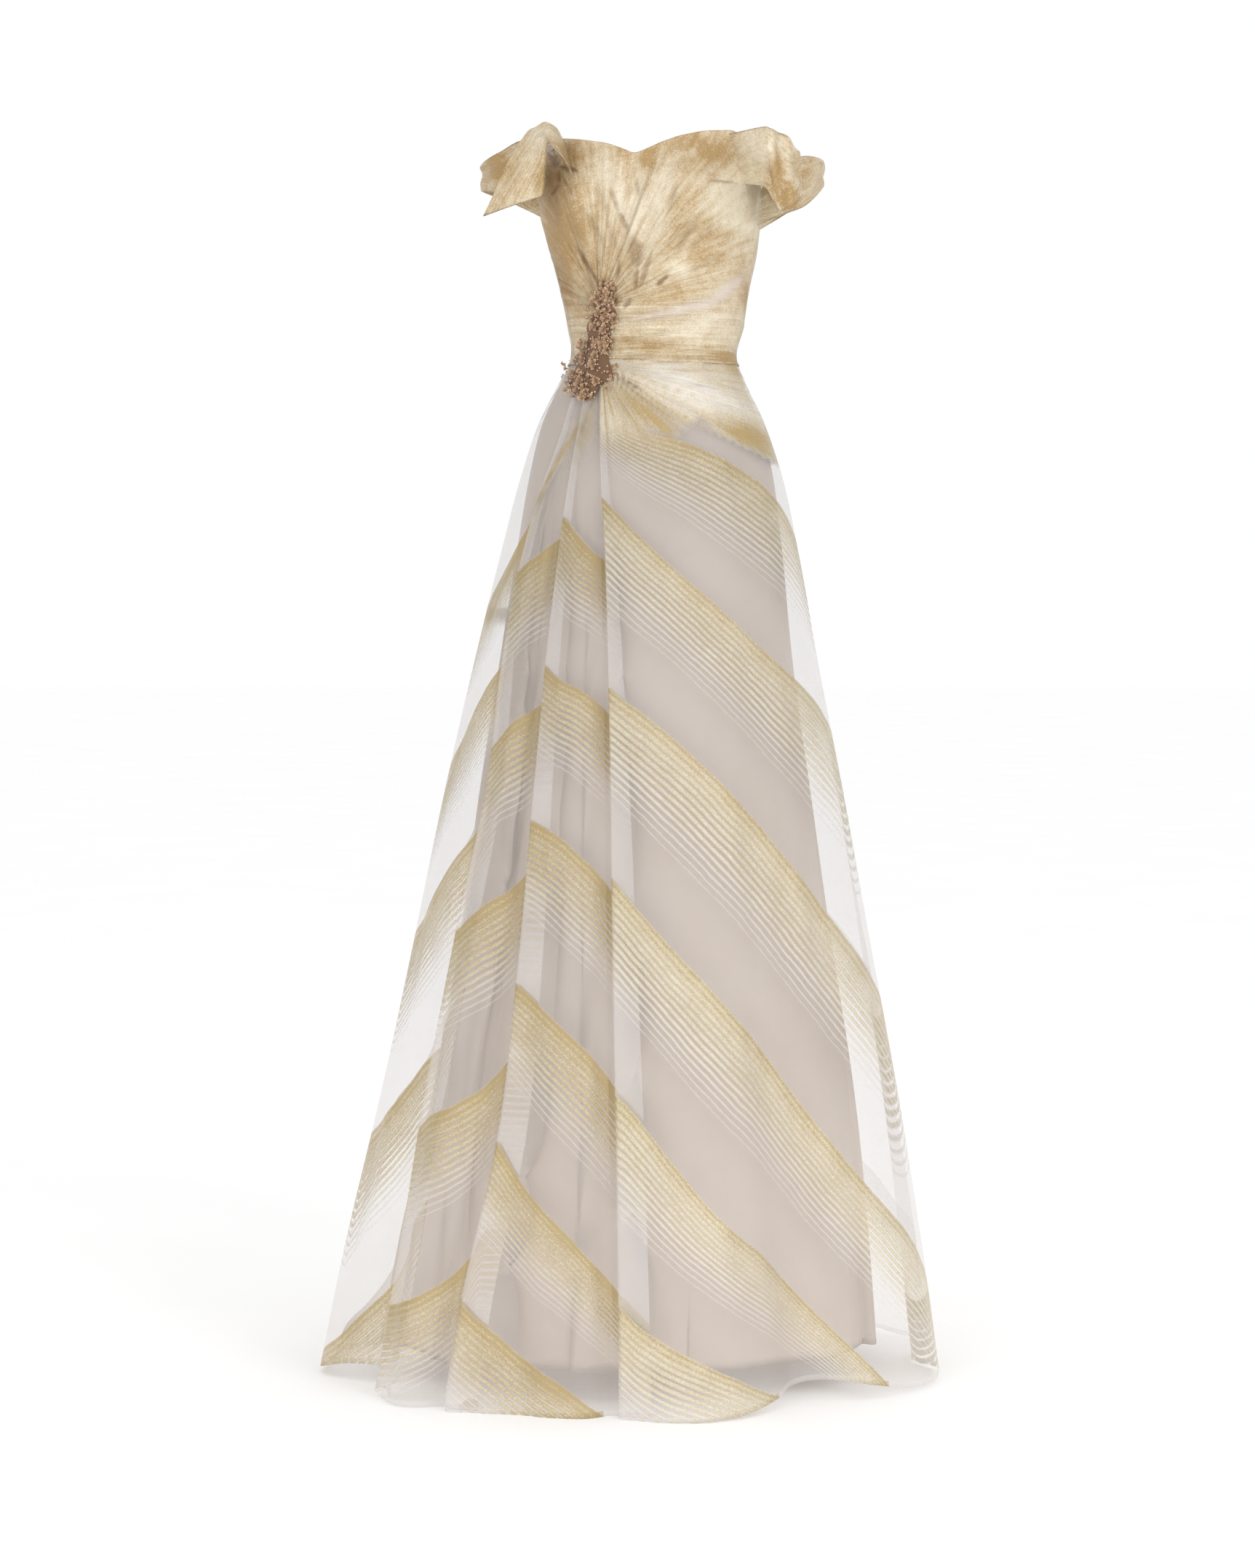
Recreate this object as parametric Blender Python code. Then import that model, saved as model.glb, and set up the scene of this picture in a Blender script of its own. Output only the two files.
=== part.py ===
"""Off-shoulder evening dress, hollow as if worn, with its front towards -Y.

Each piece that is cut and sewn on is its own closed wall of cloth. Lengths are in metres.
Heights in the tables are measured up from the hem, and angles go round the body, seen from
above: 0 is the wearer's left side (+X), -90 the centre front and 90 the centre back.
"""

import math

import bpy
import numpy as np


def table(names, *rows):
    """A table with named columns: each name gives its column as an array."""
    return dict(zip(names.split(), np.array(rows, float).T))


# Driving sizes
HOLD_HEIGHT = 1.400  # the bust line, where the wearer's ribs hold the bodice up
WAIST_HEIGHT = 1.2225
LINING_HEM = 0.035
SEAM_GAP = 0.0003
SKIRT_CLOTH = 0.0010
BODICE_CLOTH = 0.0015
SLEEVE_CLOTH = 0.0013
LINING_CLOTH = 0.0010
RIGHT_SEAM = 8.0
ZIP_ANGLE = 90.0
ZIP_WIDTH = 0.005
ZIP_BOTTOM = 1.070
ZIP_TAPER = 0.010
NUDGE = 1e-4  # a small step of angle, for slopes

# Body sections, from the hem to above the bust
SECTIONS = table(
    "height centre side front back",
    (0.000, -0.021, 0.372, 0.285, 0.360),
    (0.160, -0.017, 0.346, 0.262, 0.328),
    (0.340, -0.011, 0.312, 0.235, 0.288),
    (0.520, -0.009, 0.277, 0.208, 0.250),
    (0.700, -0.008, 0.243, 0.180, 0.215),
    (0.870, -0.006, 0.207, 0.153, 0.182),
    (1.000, -0.002, 0.179, 0.130, 0.155),
    (1.090, 0.000, 0.157, 0.112, 0.135),
    (1.156, 0.000, 0.134, 0.098, 0.114),
    (1.200, 0.001, 0.112, 0.087, 0.092),
    (1.228, 0.003, 0.100, 0.080, 0.078),
    (1.265, 0.005, 0.106, 0.082, 0.080),
    (1.309, 0.004, 0.114, 0.087, 0.085),
    (1.352, 0.003, 0.124, 0.093, 0.091),
    (1.396, 0.000, 0.132, 0.098, 0.096),
    (1.440, 0.000, 0.137, 0.098, 0.097),
    (1.500, 0.000, 0.139, 0.094, 0.096),
)

# The lines that the three deep pleat folds follow, as seen from the front
FOLD_RIGHT = table(
    "height x",
    (0.008, -0.031),
    (0.226, -0.035),
    (0.511, -0.041),
    (0.776, -0.046),
    (0.994, -0.053),
    (1.100, -0.059),
    (1.223, -0.060),
)
FOLD_MIDDLE = table(
    "height x",
    (0.017, -0.231),
    (0.129, -0.213),
    (0.311, -0.174),
    (0.511, -0.151),
    (0.726, -0.133),
    (0.944, -0.113),
    (1.079, -0.096),
    (1.165, -0.081),
    (1.223, -0.071),
)
FOLD_LEFT = table(
    "height x",
    (0.001, -0.320),
    (0.118, -0.296),
    (0.307, -0.269),
    (0.552, -0.223),
    (0.729, -0.188),
    (0.858, -0.174),
    (0.958, -0.158),
    (1.062, -0.131),
    (1.140, -0.104),
    (1.223, -0.082),
)

# How open a fold lies: the air inside it, and how far its hidden layer runs under
FOLD_DEPTH = table(
    "height air hidden",
    (0.00, 0.0120, 0.030),
    (0.40, 0.0080, 0.026),
    (0.80, 0.0045, 0.016),
    (1.05, 0.0020, 0.008),
    (1.2225, 0.0008, 0.003),
)

# The panel under a fold sinks into a valley beside the fold's edge
VALLEY = table(
    "height depth from_edge width",
    (0.00, 0.0100, 0.016, 0.018),
    (0.40, 0.0110, 0.014, 0.016),
    (0.80, 0.0090, 0.011, 0.013),
    (1.05, 0.0050, 0.008, 0.009),
    (1.18, 0.0000, 0.005, 0.006),
)
VALLEY_TAIL = 0.45  # share of the width on the fold's own side

# Flutes round the skirt: where each swings out or in, and the height at which it has faded
FLUTES = table(
    "angle width depth fades",
    (-172.0, 10.0, 0.012, 0.90),
    (-153.0, 8.0, -0.050, 0.55),
    (-134.0, 7.0, 0.014, 0.60),
    (-112.0, 9.0, -0.010, 0.70),
    (-92.0, 5.0, -0.012, 0.50),
    (-78.0, 8.0, 0.014, 0.65),
    (-54.0, 10.0, -0.040, 0.60),
    (-24.0, 11.0, 0.012, 0.90),
    (4.0, 7.0, -0.026, 0.95),
    (22.0, 8.0, 0.022, 1.05),
    (42.0, 7.0, -0.034, 1.00),
    (60.0, 8.0, 0.024, 1.10),
    (78.0, 7.0, -0.032, 1.00),
    (98.0, 8.0, 0.026, 1.10),
    (118.0, 7.0, -0.036, 1.00),
    (136.0, 8.0, 0.022, 1.05),
    (156.0, 7.0, -0.030, 0.95),
)

# The hem rides up a little here and there
HEM_LIFTS = table(
    "angle width lift",
    (-158.0, 14.0, 0.022),
    (-50.0, 16.0, 0.024),
    (-14.0, 14.0, 0.006),
    (42.0, 12.0, 0.012),
    (118.0, 14.0, 0.012),
)
HEM_LIFT_REACH = 0.30

# Bust cups, as soft swells on the body sections
CUPS = table(
    "x height swell width tall",
    (-0.083, 1.412, 0.024, 0.040, 0.052),
    (0.045, 1.412, 0.026, 0.046, 0.054),
)

# The bodice's top edge, by angle round the body
NECKLINE = table(
    "angle height",
    (-180.0, 1.436),
    (-168.0, 1.458),
    (-155.0, 1.476),
    (-145.0, 1.483),
    (-136.0, 1.482),
    (-125.0, 1.479),
    (-112.0, 1.474),
    (-102.0, 1.465),
    (-98.8, 1.461),
    (-93.0, 1.466),
    (-86.0, 1.474),
    (-77.0, 1.482),
    (-64.0, 1.489),
    (-46.0, 1.492),
    (-34.0, 1.478),
    (-20.0, 1.436),
    (0.0, 1.402),
    (30.0, 1.410),
    (60.0, 1.416),
    (90.0, 1.418),
    (120.0, 1.418),
    (150.0, 1.424),
    (180.0, 1.436),
)

# Gathers that fan out from the spray at the waist, as ridges seen from the front
GATHERS = table(
    "x height angle reach rise width",
    (-0.058, 1.284, 156.0, 0.085, 0.0035, 0.010),
    (-0.058, 1.284, 128.0, 0.130, 0.0046, 0.011),
    (-0.058, 1.284, 104.0, 0.190, 0.0046, 0.011),
    (-0.058, 1.284, 86.0, 0.215, 0.0050, 0.011),
    (-0.058, 1.284, 67.0, 0.215, 0.0052, 0.012),
    (-0.058, 1.282, 47.0, 0.215, 0.0052, 0.013),
    (-0.060, 1.276, 28.0, 0.205, 0.0048, 0.013),
    (-0.062, 1.258, 12.0, 0.190, 0.0044, 0.012),
    (-0.064, 1.234, -3.0, 0.185, 0.0040, 0.011),
    (-0.064, 1.218, -19.0, 0.190, 0.0044, 0.013),
    (-0.064, 1.210, -40.0, 0.210, 0.0044, 0.015),
    (-0.064, 1.206, -60.0, 0.180, 0.0030, 0.014),
)
GATHER_START = 0.24  # share of its reach at which a gather has come up from under the spray

# The spray of raised flowers on the waist: its spine, and where each flower sits on it
SPRAY_SPINE = table(
    "along x height half",
    (0.00, -0.050, 1.312, 0.007),
    (0.14, -0.055, 1.294, 0.014),
    (0.34, -0.062, 1.264, 0.016),
    (0.55, -0.067, 1.236, 0.022),
    (0.75, -0.072, 1.210, 0.028),
    (0.90, -0.082, 1.190, 0.023),
    (1.00, -0.091, 1.177, 0.009),
)
SPRAY_FLOWERS = table(
    "along across size turn",
    (0.10, 0.1, 0.012, 10.0),
    (0.24, -0.5, 0.012, 40.0),
    (0.28, 0.5, 0.013, 75.0),
    (0.42, -0.3, 0.013, 20.0),
    (0.46, 0.6, 0.012, 55.0),
    (0.58, -0.6, 0.014, 5.0),
    (0.62, 0.3, 0.016, 30.0),
    (0.76, -0.5, 0.016, 60.0),
    (0.78, 0.5, 0.013, 15.0),
    (0.92, 0.0, 0.014, 45.0),
)
SPRAY_LIFT = 0.0016  # clear of the gathers under it
SPRAY_BASE = 0.0018
SPRAY_PETAL = 0.0050
PETALS = 6

# Lining: how far it hangs inside the skirt
LINING_INSET = table(
    "height inset",
    (0.000, 0.086),
    (0.300, 0.062),
    (0.620, 0.046),
    (0.870, 0.030),
    (1.050, 0.014),
    (1.150, 0.005),
    (1.2225, SKIRT_CLOTH + SEAM_GAP),
)

# Sleeve pieces, as upright sections that run outwards from the bodice and back to it
LEFT_BAND = table(
    "x y low high",
    (-0.150, -0.078, 1.436, 1.478),
    (-0.178, -0.066, 1.421, 1.467),
    (-0.197, -0.038, 1.424, 1.459),
    (-0.204, 0.000, 1.428, 1.455),
    (-0.193, 0.040, 1.427, 1.453),
    (-0.163, 0.066, 1.418, 1.446),
)
RIGHT_BAND = table(
    "x y low high",
    (0.155, -0.070, 1.393, 1.455),
    (0.181, -0.056, 1.404, 1.463),
    (0.199, -0.030, 1.421, 1.464),
    (0.206, 0.006, 1.436, 1.462),
    (0.194, 0.044, 1.426, 1.456),
    (0.164, 0.068, 1.408, 1.440),
)

# Folded ribbon on the left and puff on the right: two edges, section by section
LEFT_BOW = table(
    "ax ay ah bx by bh",
    (-0.116, -0.100, 1.4925, -0.103, -0.121, 1.452),
    (-0.127, -0.103, 1.4980, -0.112, -0.130, 1.461),
    (-0.138, -0.104, 1.4910, -0.119, -0.134, 1.468),
    (-0.148, -0.106, 1.4820, -0.123, -0.133, 1.464),
    (-0.170, -0.103, 1.4470, -0.125, -0.125, 1.438),
    (-0.199, -0.090, 1.3890, -0.127, -0.112, 1.4110),
)
RIGHT_PUFF = table(
    "ax ay ah bx by bh",
    (0.124, -0.100, 1.4915, 0.131, -0.082, 1.400),
    (0.138, -0.104, 1.4895, 0.142, -0.086, 1.392),
    (0.150, -0.092, 1.4865, 0.152, -0.082, 1.396),
    (0.162, -0.090, 1.4805, 0.164, -0.086, 1.402),
    (0.171, -0.078, 1.4690, 0.173, -0.077, 1.409),
    (0.176, -0.068, 1.4640, 0.178, -0.067, 1.414),
)

# Rows of each wall, as heights, and columns, as counts
SKIRT_ROWS = (0.0, 0.07, 0.16, 0.26, 0.37, 0.49, 0.61, 0.73, 0.85, 0.95, 1.04, 1.07, 1.13, 1.18, 1.2225)
LINING_ROWS = (LINING_HEM, 0.28, 0.52, 0.76, 0.95, 1.06, 1.15, 1.2225)
BODICE_ROWS = 24
BACK_ROWS = 8
ROLL_STEPS = 3
HIDDEN_STEPS = 2

CREAM = (0.84, 0.78, 0.70)
GOLD = (0.70, 0.56, 0.33)
PALE_GOLD = (0.78, 0.67, 0.46)
NUDE = (0.72, 0.62, 0.56)
ROSE_BROWN = (0.50, 0.35, 0.24)


def curve(at, knots, values):
    """Smooth curve through the values: a cubic in each span, its end slopes those of the table."""
    slopes = np.gradient(values, knots)
    i = np.clip(np.searchsorted(knots, at) - 1, 0, len(knots) - 2)
    span = knots[i + 1] - knots[i]
    u = np.clip((at - knots[i]) / span, 0.0, 1.0)
    from_start = (1 + 2 * u) * (1 - u) ** 2 * values[i] + u * (1 - u) ** 2 * span * slopes[i]
    to_end = u**2 * (3 - 2 * u) * values[i + 1] - u**2 * (1 - u) * span * slopes[i + 1]
    return from_start + to_end


def ease(u):
    """0 below 0, 1 above 1 and a smooth rise between them."""
    u = np.clip(u, 0.0, 1.0)
    return u * u * (3 - 2 * u)


def turn_between(a, b):
    """Degrees from b to a, the short way round."""
    return (a - b + 180.0) % 360.0 - 180.0


def section(name, height):
    return curve(height, SECTIONS["height"], SECTIONS[name])


def bumps(angle, centres, widths):
    """One column for each centre: 1 at it, falling off as a bell over its width."""
    return np.exp(-((turn_between(angle[..., None], centres) / widths) ** 2))


def flute_depth(angle, height):
    """How far the skirt swings out of its plain section."""
    grows = np.clip(1.0 - height[..., None] / FLUTES["fades"], 0.0, 1.0) ** 1.3
    return (bumps(angle, FLUTES["angle"], FLUTES["width"]) * FLUTES["depth"] * grows).sum(-1)


def fold_angle(fold, height):
    """Angle at which a fold's edge lies, from how far to the side it is seen from the front."""
    aside = curve(height, fold["height"], fold["x"]) - section("centre", height)
    share = aside / section("side", height)
    return -np.degrees(np.arccos(np.clip(share, -0.999, 0.999)))


def valley_depth(angle, height):
    """How far the skirt sinks beside the folds: a bell to the left of each, narrower by the fold."""
    sunk = np.zeros_like(angle)
    depth = curve(height, VALLEY["height"], VALLEY["depth"])
    from_edge = curve(height, VALLEY["height"], VALLEY["from_edge"])
    width = curve(height, VALLEY["height"], VALLEY["width"])
    metres = math.pi / 180.0 * (section("side", height) + section("front", height)) / 2
    for fold in (FOLD_RIGHT, FOLD_MIDDLE, FOLD_LEFT):
        away = turn_between(angle, fold_angle(fold, height)) * metres + from_edge
        reach = np.where(away > 0, width * VALLEY_TAIL, width)
        sunk = sunk + depth * np.exp(-((away / reach) ** 2))
    return sunk


def cup_swell(x, height, in_front):
    reach_x = ((x[..., None] - CUPS["x"]) / CUPS["width"]) ** 2
    reach_up = ((height[..., None] - CUPS["height"]) / CUPS["tall"]) ** 2
    return (CUPS["swell"] * np.exp(-reach_x - reach_up)).sum(-1) * in_front


def form(angle, height):
    """Point of the dress's outer form: a half ellipse in front and one behind, with flutes and cups."""
    t = np.radians(angle)
    side = section("side", height)
    depth = np.where(np.sin(t) < 0, section("front", height), section("back", height))
    x = section("centre", height) + side * np.cos(t)
    y = depth * np.sin(t)
    normal = np.stack([np.cos(t) / side, np.sin(t) / depth], -1)
    normal /= np.linalg.norm(normal, axis=-1, keepdims=True)
    swing = flute_depth(angle, height) - valley_depth(angle, height)
    swing = swing + cup_swell(x, height, ease(-np.sin(t) / 0.35))
    lifts = (bumps(angle, HEM_LIFTS["angle"], HEM_LIFTS["width"]) * HEM_LIFTS["lift"]).sum(-1)
    z = height + lifts * np.clip(1.0 - height / HEM_LIFT_REACH, 0.0, 1.0) ** 2
    return np.stack([x + normal[..., 0] * swing, y + normal[..., 1] * swing, z], -1)


def run_of(angle, height):
    """Metres travelled along the form for each degree of angle, and the unit tangent."""
    step = (form(angle + NUDGE, height) - form(angle - NUDGE, height)) / (2 * NUDGE)
    step[..., 2] = 0.0
    metres = np.linalg.norm(step, axis=-1)
    return metres, step / metres[..., None]


def shell(angle, height, out=0.0):
    """Point that lies this far outside the form, square to it in plan."""
    angle, height = np.broadcast_arrays(np.asarray(angle, float), np.asarray(height, float))
    tangent = run_of(angle, height)[1]
    normal = np.stack([tangent[..., 1], -tangent[..., 0], np.zeros_like(angle)], -1)
    return form(angle, height) + normal * np.broadcast_to(out, angle.shape)[..., None]


def gather_rise(angle, height):
    """Height of the gathers above the form, from the distance to each ray as seen from the front."""
    point = form(angle, height)
    in_front = ease(-np.sin(np.radians(angle)) / 0.3)
    along_x = np.cos(np.radians(GATHERS["angle"]))
    along_h = np.sin(np.radians(GATHERS["angle"]))
    dx = point[..., 0, None] - GATHERS["x"]
    dh = height[..., None] - GATHERS["height"]
    share = (dx * along_x + dh * along_h) / GATHERS["reach"]
    away = dx * along_h - dh * along_x
    width = GATHERS["width"] * (0.35 + 0.65 * np.clip(share, 0.0, 1.0))
    length_wise = ease(share / GATHER_START) * ease((1.0 - share) / 0.6)
    return (GATHERS["rise"] * length_wise * np.exp(-((away / width) ** 2))).sum(-1) * in_front


def stack_height(height):
    """How far a fold's edge stands off the panel under it: two thicknesses, the air inside and a gap."""
    air = curve(height, FOLD_DEPTH["height"], FOLD_DEPTH["air"])
    return 2 * SKIRT_CLOTH + air + SEAM_GAP


def fold_edge(fold, heights):
    """Face and back of a fold, column by column, from the end of its hidden layer round to its edge."""
    air = curve(heights, FOLD_DEPTH["height"], FOLD_DEPTH["air"])
    edge = fold_angle(fold, heights)
    metres, tangent = run_of(edge, heights)
    hidden = curve(heights, FOLD_DEPTH["height"], FOLD_DEPTH["hidden"]) / metres
    faces, backs = [], []
    for share in np.linspace(1.0, 0.0, HIDDEN_STEPS + 1)[:-1]:
        faces.append(shell(edge + hidden * share, heights, SEAM_GAP))
        backs.append(shell(edge + hidden * share, heights, SEAM_GAP + SKIRT_CLOTH))
    middle = SEAM_GAP + SKIRT_CLOTH + air / 2
    for turn in np.linspace(math.pi, 0.0, ROLL_STEPS + 1):
        for points, radius in ((faces, SKIRT_CLOTH + air / 2), (backs, air / 2)):
            rolled = shell(edge, heights, middle + radius * math.cos(turn))
            points.append(rolled - tangent * (radius * math.sin(turn))[..., None])
    return faces, backs


def skirt_panel(name, start, end, columns, material, gathered=False):
    """One skirt panel, from its start to its end as the angle grows.

    A start that is a fold has a rolled edge and a hidden layer. An end that is a fold lies
    under the next panel, out to the end of that panel's hidden layer.
    """
    heights = np.array(SKIRT_ROWS)
    faces, backs = [], []
    starts_folded = isinstance(start, dict)
    ends_folded = isinstance(end, dict)
    if starts_folded:
        faces, backs = fold_edge(start, heights)
        first = fold_angle(start, heights)
    else:
        first = start(heights)
    if ends_folded:
        last = fold_angle(end, heights)
        last = np.where(last < first, last + 360.0, last)
    else:
        last = end(heights)
    metres = run_of(first, heights)[0]
    hidden = curve(heights, FOLD_DEPTH["height"], FOLD_DEPTH["hidden"])
    stack = stack_height(heights)
    width = (last - first) * metres
    shares = [np.full_like(heights, share) for share in np.linspace(0.0, 1.0, columns + 1)]
    if ends_folded:
        shares.insert(-1, 1.0 - stack / width)
    for share in shares[1 if starts_folded else 0 :]:
        angle = first + (last - first) * share
        out = np.zeros_like(heights)
        if starts_folded:
            level_from = hidden
            level_to = width - 1.5 * stack if ends_folded else np.maximum(width * 0.35, 0.045)
            out = stack * (1.0 - ease((share * width - level_from) / (level_to - level_from)))
        if gathered:
            out = out + gather_rise(angle, heights) * ease((1.0 - share) / 0.1)
        faces.append(shell(angle, heights, out))
        backs.append(shell(angle, heights, out - SKIRT_CLOTH))
    if ends_folded:
        reach = hidden / run_of(last, heights)[0]
        for share in np.linspace(0.0, 1.0, HIDDEN_STEPS + 1)[1:]:
            faces.append(shell(last + reach * share, heights))
            backs.append(shell(last + reach * share, heights, -SKIRT_CLOTH))
    add_wall(name, np.array(faces), np.array(backs), material)


def cut_quads(points, quads):
    """Two triangles from each quad, cut so that layers lying on each other are cut alike."""
    a, b, c, d = (points[quads[:, i]] for i in range(4))
    grows = a[:, 0] * d[:, 1] - a[:, 1] * d[:, 0] + b[:, 0] * c[:, 1] - b[:, 1] * c[:, 0]
    climbs = b[:, 2] + c[:, 2] - a[:, 2] - d[:, 2]
    first = np.where((grows * climbs > 0)[:, None], quads[:, [0, 1, 2]], quads[:, [0, 1, 3]])
    second = np.where((grows * climbs > 0)[:, None], quads[:, [0, 2, 3]], quads[:, [1, 2, 3]])
    return np.concatenate([first, second])


def add_wall(name, face, back, material, round_shade=True):
    """A closed wall between two grids of points, face and back, with rims along all four edges."""
    across, up = face.shape[:2]
    count = across * up
    grid = np.arange(count).reshape(across, up)
    points = np.concatenate([face.reshape(-1, 3), back.reshape(-1, 3)])
    points[:, 2] -= HOLD_HEIGHT
    rings = [
        (grid[:-1, :-1], grid[:-1, 1:], grid[1:, 1:], grid[1:, :-1]),
        (grid[1:, :-1] + count, grid[1:, 1:] + count, grid[:-1, 1:] + count, grid[:-1, :-1] + count),
        (grid[0, :-1] + count, grid[0, 1:] + count, grid[0, 1:], grid[0, :-1]),
        (grid[-1, :-1], grid[-1, 1:], grid[-1, 1:] + count, grid[-1, :-1] + count),
        (grid[:-1, 0], grid[1:, 0], grid[1:, 0] + count, grid[:-1, 0] + count),
        (grid[:-1, -1] + count, grid[1:, -1] + count, grid[1:, -1], grid[:-1, -1]),
    ]
    quads = np.concatenate([np.stack([corner.ravel() for corner in ring], -1) for ring in rings])
    faces = cut_quads(points, quads)
    corners = points[faces]
    if np.einsum("ij,ij->", corners[:, 0], np.cross(corners[:, 1], corners[:, 2])) < 0:
        faces = faces[:, ::-1]
    mesh = bpy.data.meshes.new(name)
    mesh.from_pydata(points.tolist(), [], faces.tolist())
    mesh.materials.append(material)
    if round_shade:
        mesh.shade_smooth()
        mesh.set_sharp_from_angle(angle=math.radians(50))
    wall = bpy.data.objects.new(name, mesh)
    bpy.context.scene.collection.objects.link(wall)
    return wall


def cloth_material(name, colour, roughness, metallic):
    material = bpy.data.materials.new(name)
    material.use_nodes = True
    surface = material.node_tree.nodes["Principled BSDF"]
    surface.inputs["Base Color"].default_value = (*colour, 1.0)
    surface.inputs["Roughness"].default_value = roughness
    surface.inputs["Metallic"].default_value = metallic
    return material


def zip_edge(side):
    """Angle of a back panel's edge: beside the zip above its foot, and at the closed seam below it."""

    def edge(heights):
        open_share = ease((heights - ZIP_BOTTOM + ZIP_TAPER) / ZIP_TAPER)
        apart = SEAM_GAP / 2 + open_share * (ZIP_WIDTH / 2 + SEAM_GAP / 2)
        return ZIP_ANGLE + side * apart / run_of(np.full_like(heights, ZIP_ANGLE), heights)[0]

    return edge


def plain_seam(angle, side):
    """Angle of a panel's edge at a closed seam, half a gap to one side of it."""

    def edge(heights):
        return angle + side * SEAM_GAP / 2 / run_of(np.full_like(heights, angle), heights)[0]

    return edge


def neckline(angle):
    return np.interp(turn_between(angle, 0.0), NECKLINE["angle"], NECKLINE["height"])


def bodice_panel(name, start, end, columns, material, gathered=False):
    """A bodice panel from the waist seam up to the neckline."""
    shares = np.linspace(0.0, 1.0, BODICE_ROWS if gathered else BACK_ROWS)
    low = WAIST_HEIGHT + SEAM_GAP
    faces, backs = [], []
    for share in np.linspace(0.0, 1.0, columns + 1):
        guess = start(np.array([low]))[0] * (1 - share) + end(np.array([low]))[0] * share
        heights = low + (neckline(guess) - low) * shares
        angle = start(heights) * (1 - share) + end(heights) * share
        rise = gather_rise(angle, heights) if gathered else np.zeros_like(heights)
        faces.append(shell(angle, heights, rise))
        backs.append(shell(angle, heights, rise - BODICE_CLOTH))
    add_wall(name, np.array(faces), np.array(backs), material)


def add_zip(material):
    """The closed zip: a narrow strip that fills the centre-back opening from the top edge to the hip."""
    low = WAIST_HEIGHT + SEAM_GAP
    above_waist = low + (neckline(ZIP_ANGLE) - low) * np.linspace(0.0, 1.0, BACK_ROWS)
    below_waist = [height for height in SKIRT_ROWS if ZIP_BOTTOM < height]
    heights = np.concatenate([[ZIP_BOTTOM + 0.001], below_waist, above_waist[1:]])
    half = ZIP_WIDTH / 2 / run_of(np.full_like(heights, ZIP_ANGLE), heights)[0]
    angles = [ZIP_ANGLE + half * side for side in (-1.0, 0.0, 1.0)]
    face = np.array([shell(a, heights, 0.0002) for a in angles])
    back = np.array([shell(a, heights, -0.0011) for a in angles])
    add_wall("zip_back", face, back, material)


def lining_panel(name, start, end, columns, material):
    """Half of the lining: plain sections inside the skirt, without its flutes."""
    heights = np.array(LINING_ROWS)
    inset = curve(heights, LINING_INSET["height"], LINING_INSET["inset"])
    calm = 1.0 - ease((WAIST_HEIGHT - heights) / 0.05)
    faces, backs = [], []
    for share in np.linspace(0.0, 1.0, columns + 1):
        angle = start(heights) * (1 - share) + end(heights) * share
        flat = (flute_depth(angle, heights) - valley_depth(angle, heights)) * (1.0 - calm)
        point = shell(angle, heights, -inset - flat)
        point[..., 2] = heights
        inner = shell(angle, heights, -inset - flat - LINING_CLOTH)
        inner[..., 2] = heights
        faces.append(point)
        backs.append(inner)
    add_wall(name, np.array(faces), np.array(backs), material)


def through_rows(rows, steps):
    """A smooth run through rows of points, with the given number of steps in all."""
    rows = np.array(rows)
    knots = np.arange(len(rows), dtype=float)
    at = np.linspace(0.0, len(rows) - 1.0, steps + 1)
    flat = rows.reshape(len(rows), -1)
    smooth = np.stack([curve(at, knots, flat[:, i]) for i in range(flat.shape[1])], -1)
    return smooth.reshape((steps + 1,) + rows.shape[1:])


def thicken(grid, thickness, side):
    """Second face of a wall: the grid moved along its own normals."""
    across = np.gradient(grid, axis=0)
    up = np.gradient(grid, axis=1)
    normal = np.cross(across, up)
    normal /= np.linalg.norm(normal, axis=-1, keepdims=True)
    return grid + side * thickness * normal


def band_rows(band, roots, points):
    """Upright rows of a sleeve band: on the bodice in front, round the arm and on the bodice behind."""
    rows = [roots[0]]
    for x, y, low, high in zip(band["x"], band["y"], band["low"], band["high"]):
        up = np.linspace(low, high, points)
        rows.append(np.stack([np.full(points, x), np.full(points, y), up], -1))
    rows.append(roots[1])
    return rows


def root_row(angle_low, angle_high, low, high, points, out):
    """A row of points on the bodice's outside, where a sleeve piece is sewn on."""
    angles = np.linspace(angle_low, angle_high, points)
    heights = np.linspace(low, high, points)
    return shell(angles, heights, out + gather_rise(angles, heights))


def sleeve_band(name, band, front, behind, points, steps, material):
    roots = [root_row(*row, points, SEAM_GAP + gap) for row, gap in ((front, 0.0042), (behind, 0.0003))]
    grid = through_rows(band_rows(band, roots, points), steps)
    side = 1.0 if name.startswith("sleeve_right") else -1.0
    add_wall(name, thicken(grid, SLEEVE_CLOTH, side), grid, material)


def folded_piece(name, edges, root, points, steps, material, side, bulge):
    """A piece of sleeve cloth that runs between two edges and bulges outwards between them."""
    rows = [root]
    share = np.linspace(0.0, 1.0, points)
    for ax, ay, ah, bx, by, bh in zip(*(edges[k] for k in ("ax", "ay", "ah", "bx", "by", "bh"))):
        row = np.outer(1 - share, (ax, ay, ah)) + np.outer(share, (bx, by, bh))
        row[:, 1] -= bulge * np.sin(math.pi * share)
        rows.append(row)
    grid = through_rows(rows, steps)
    add_wall(name, thicken(grid, SLEEVE_CLOTH, side), grid, material)


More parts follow.
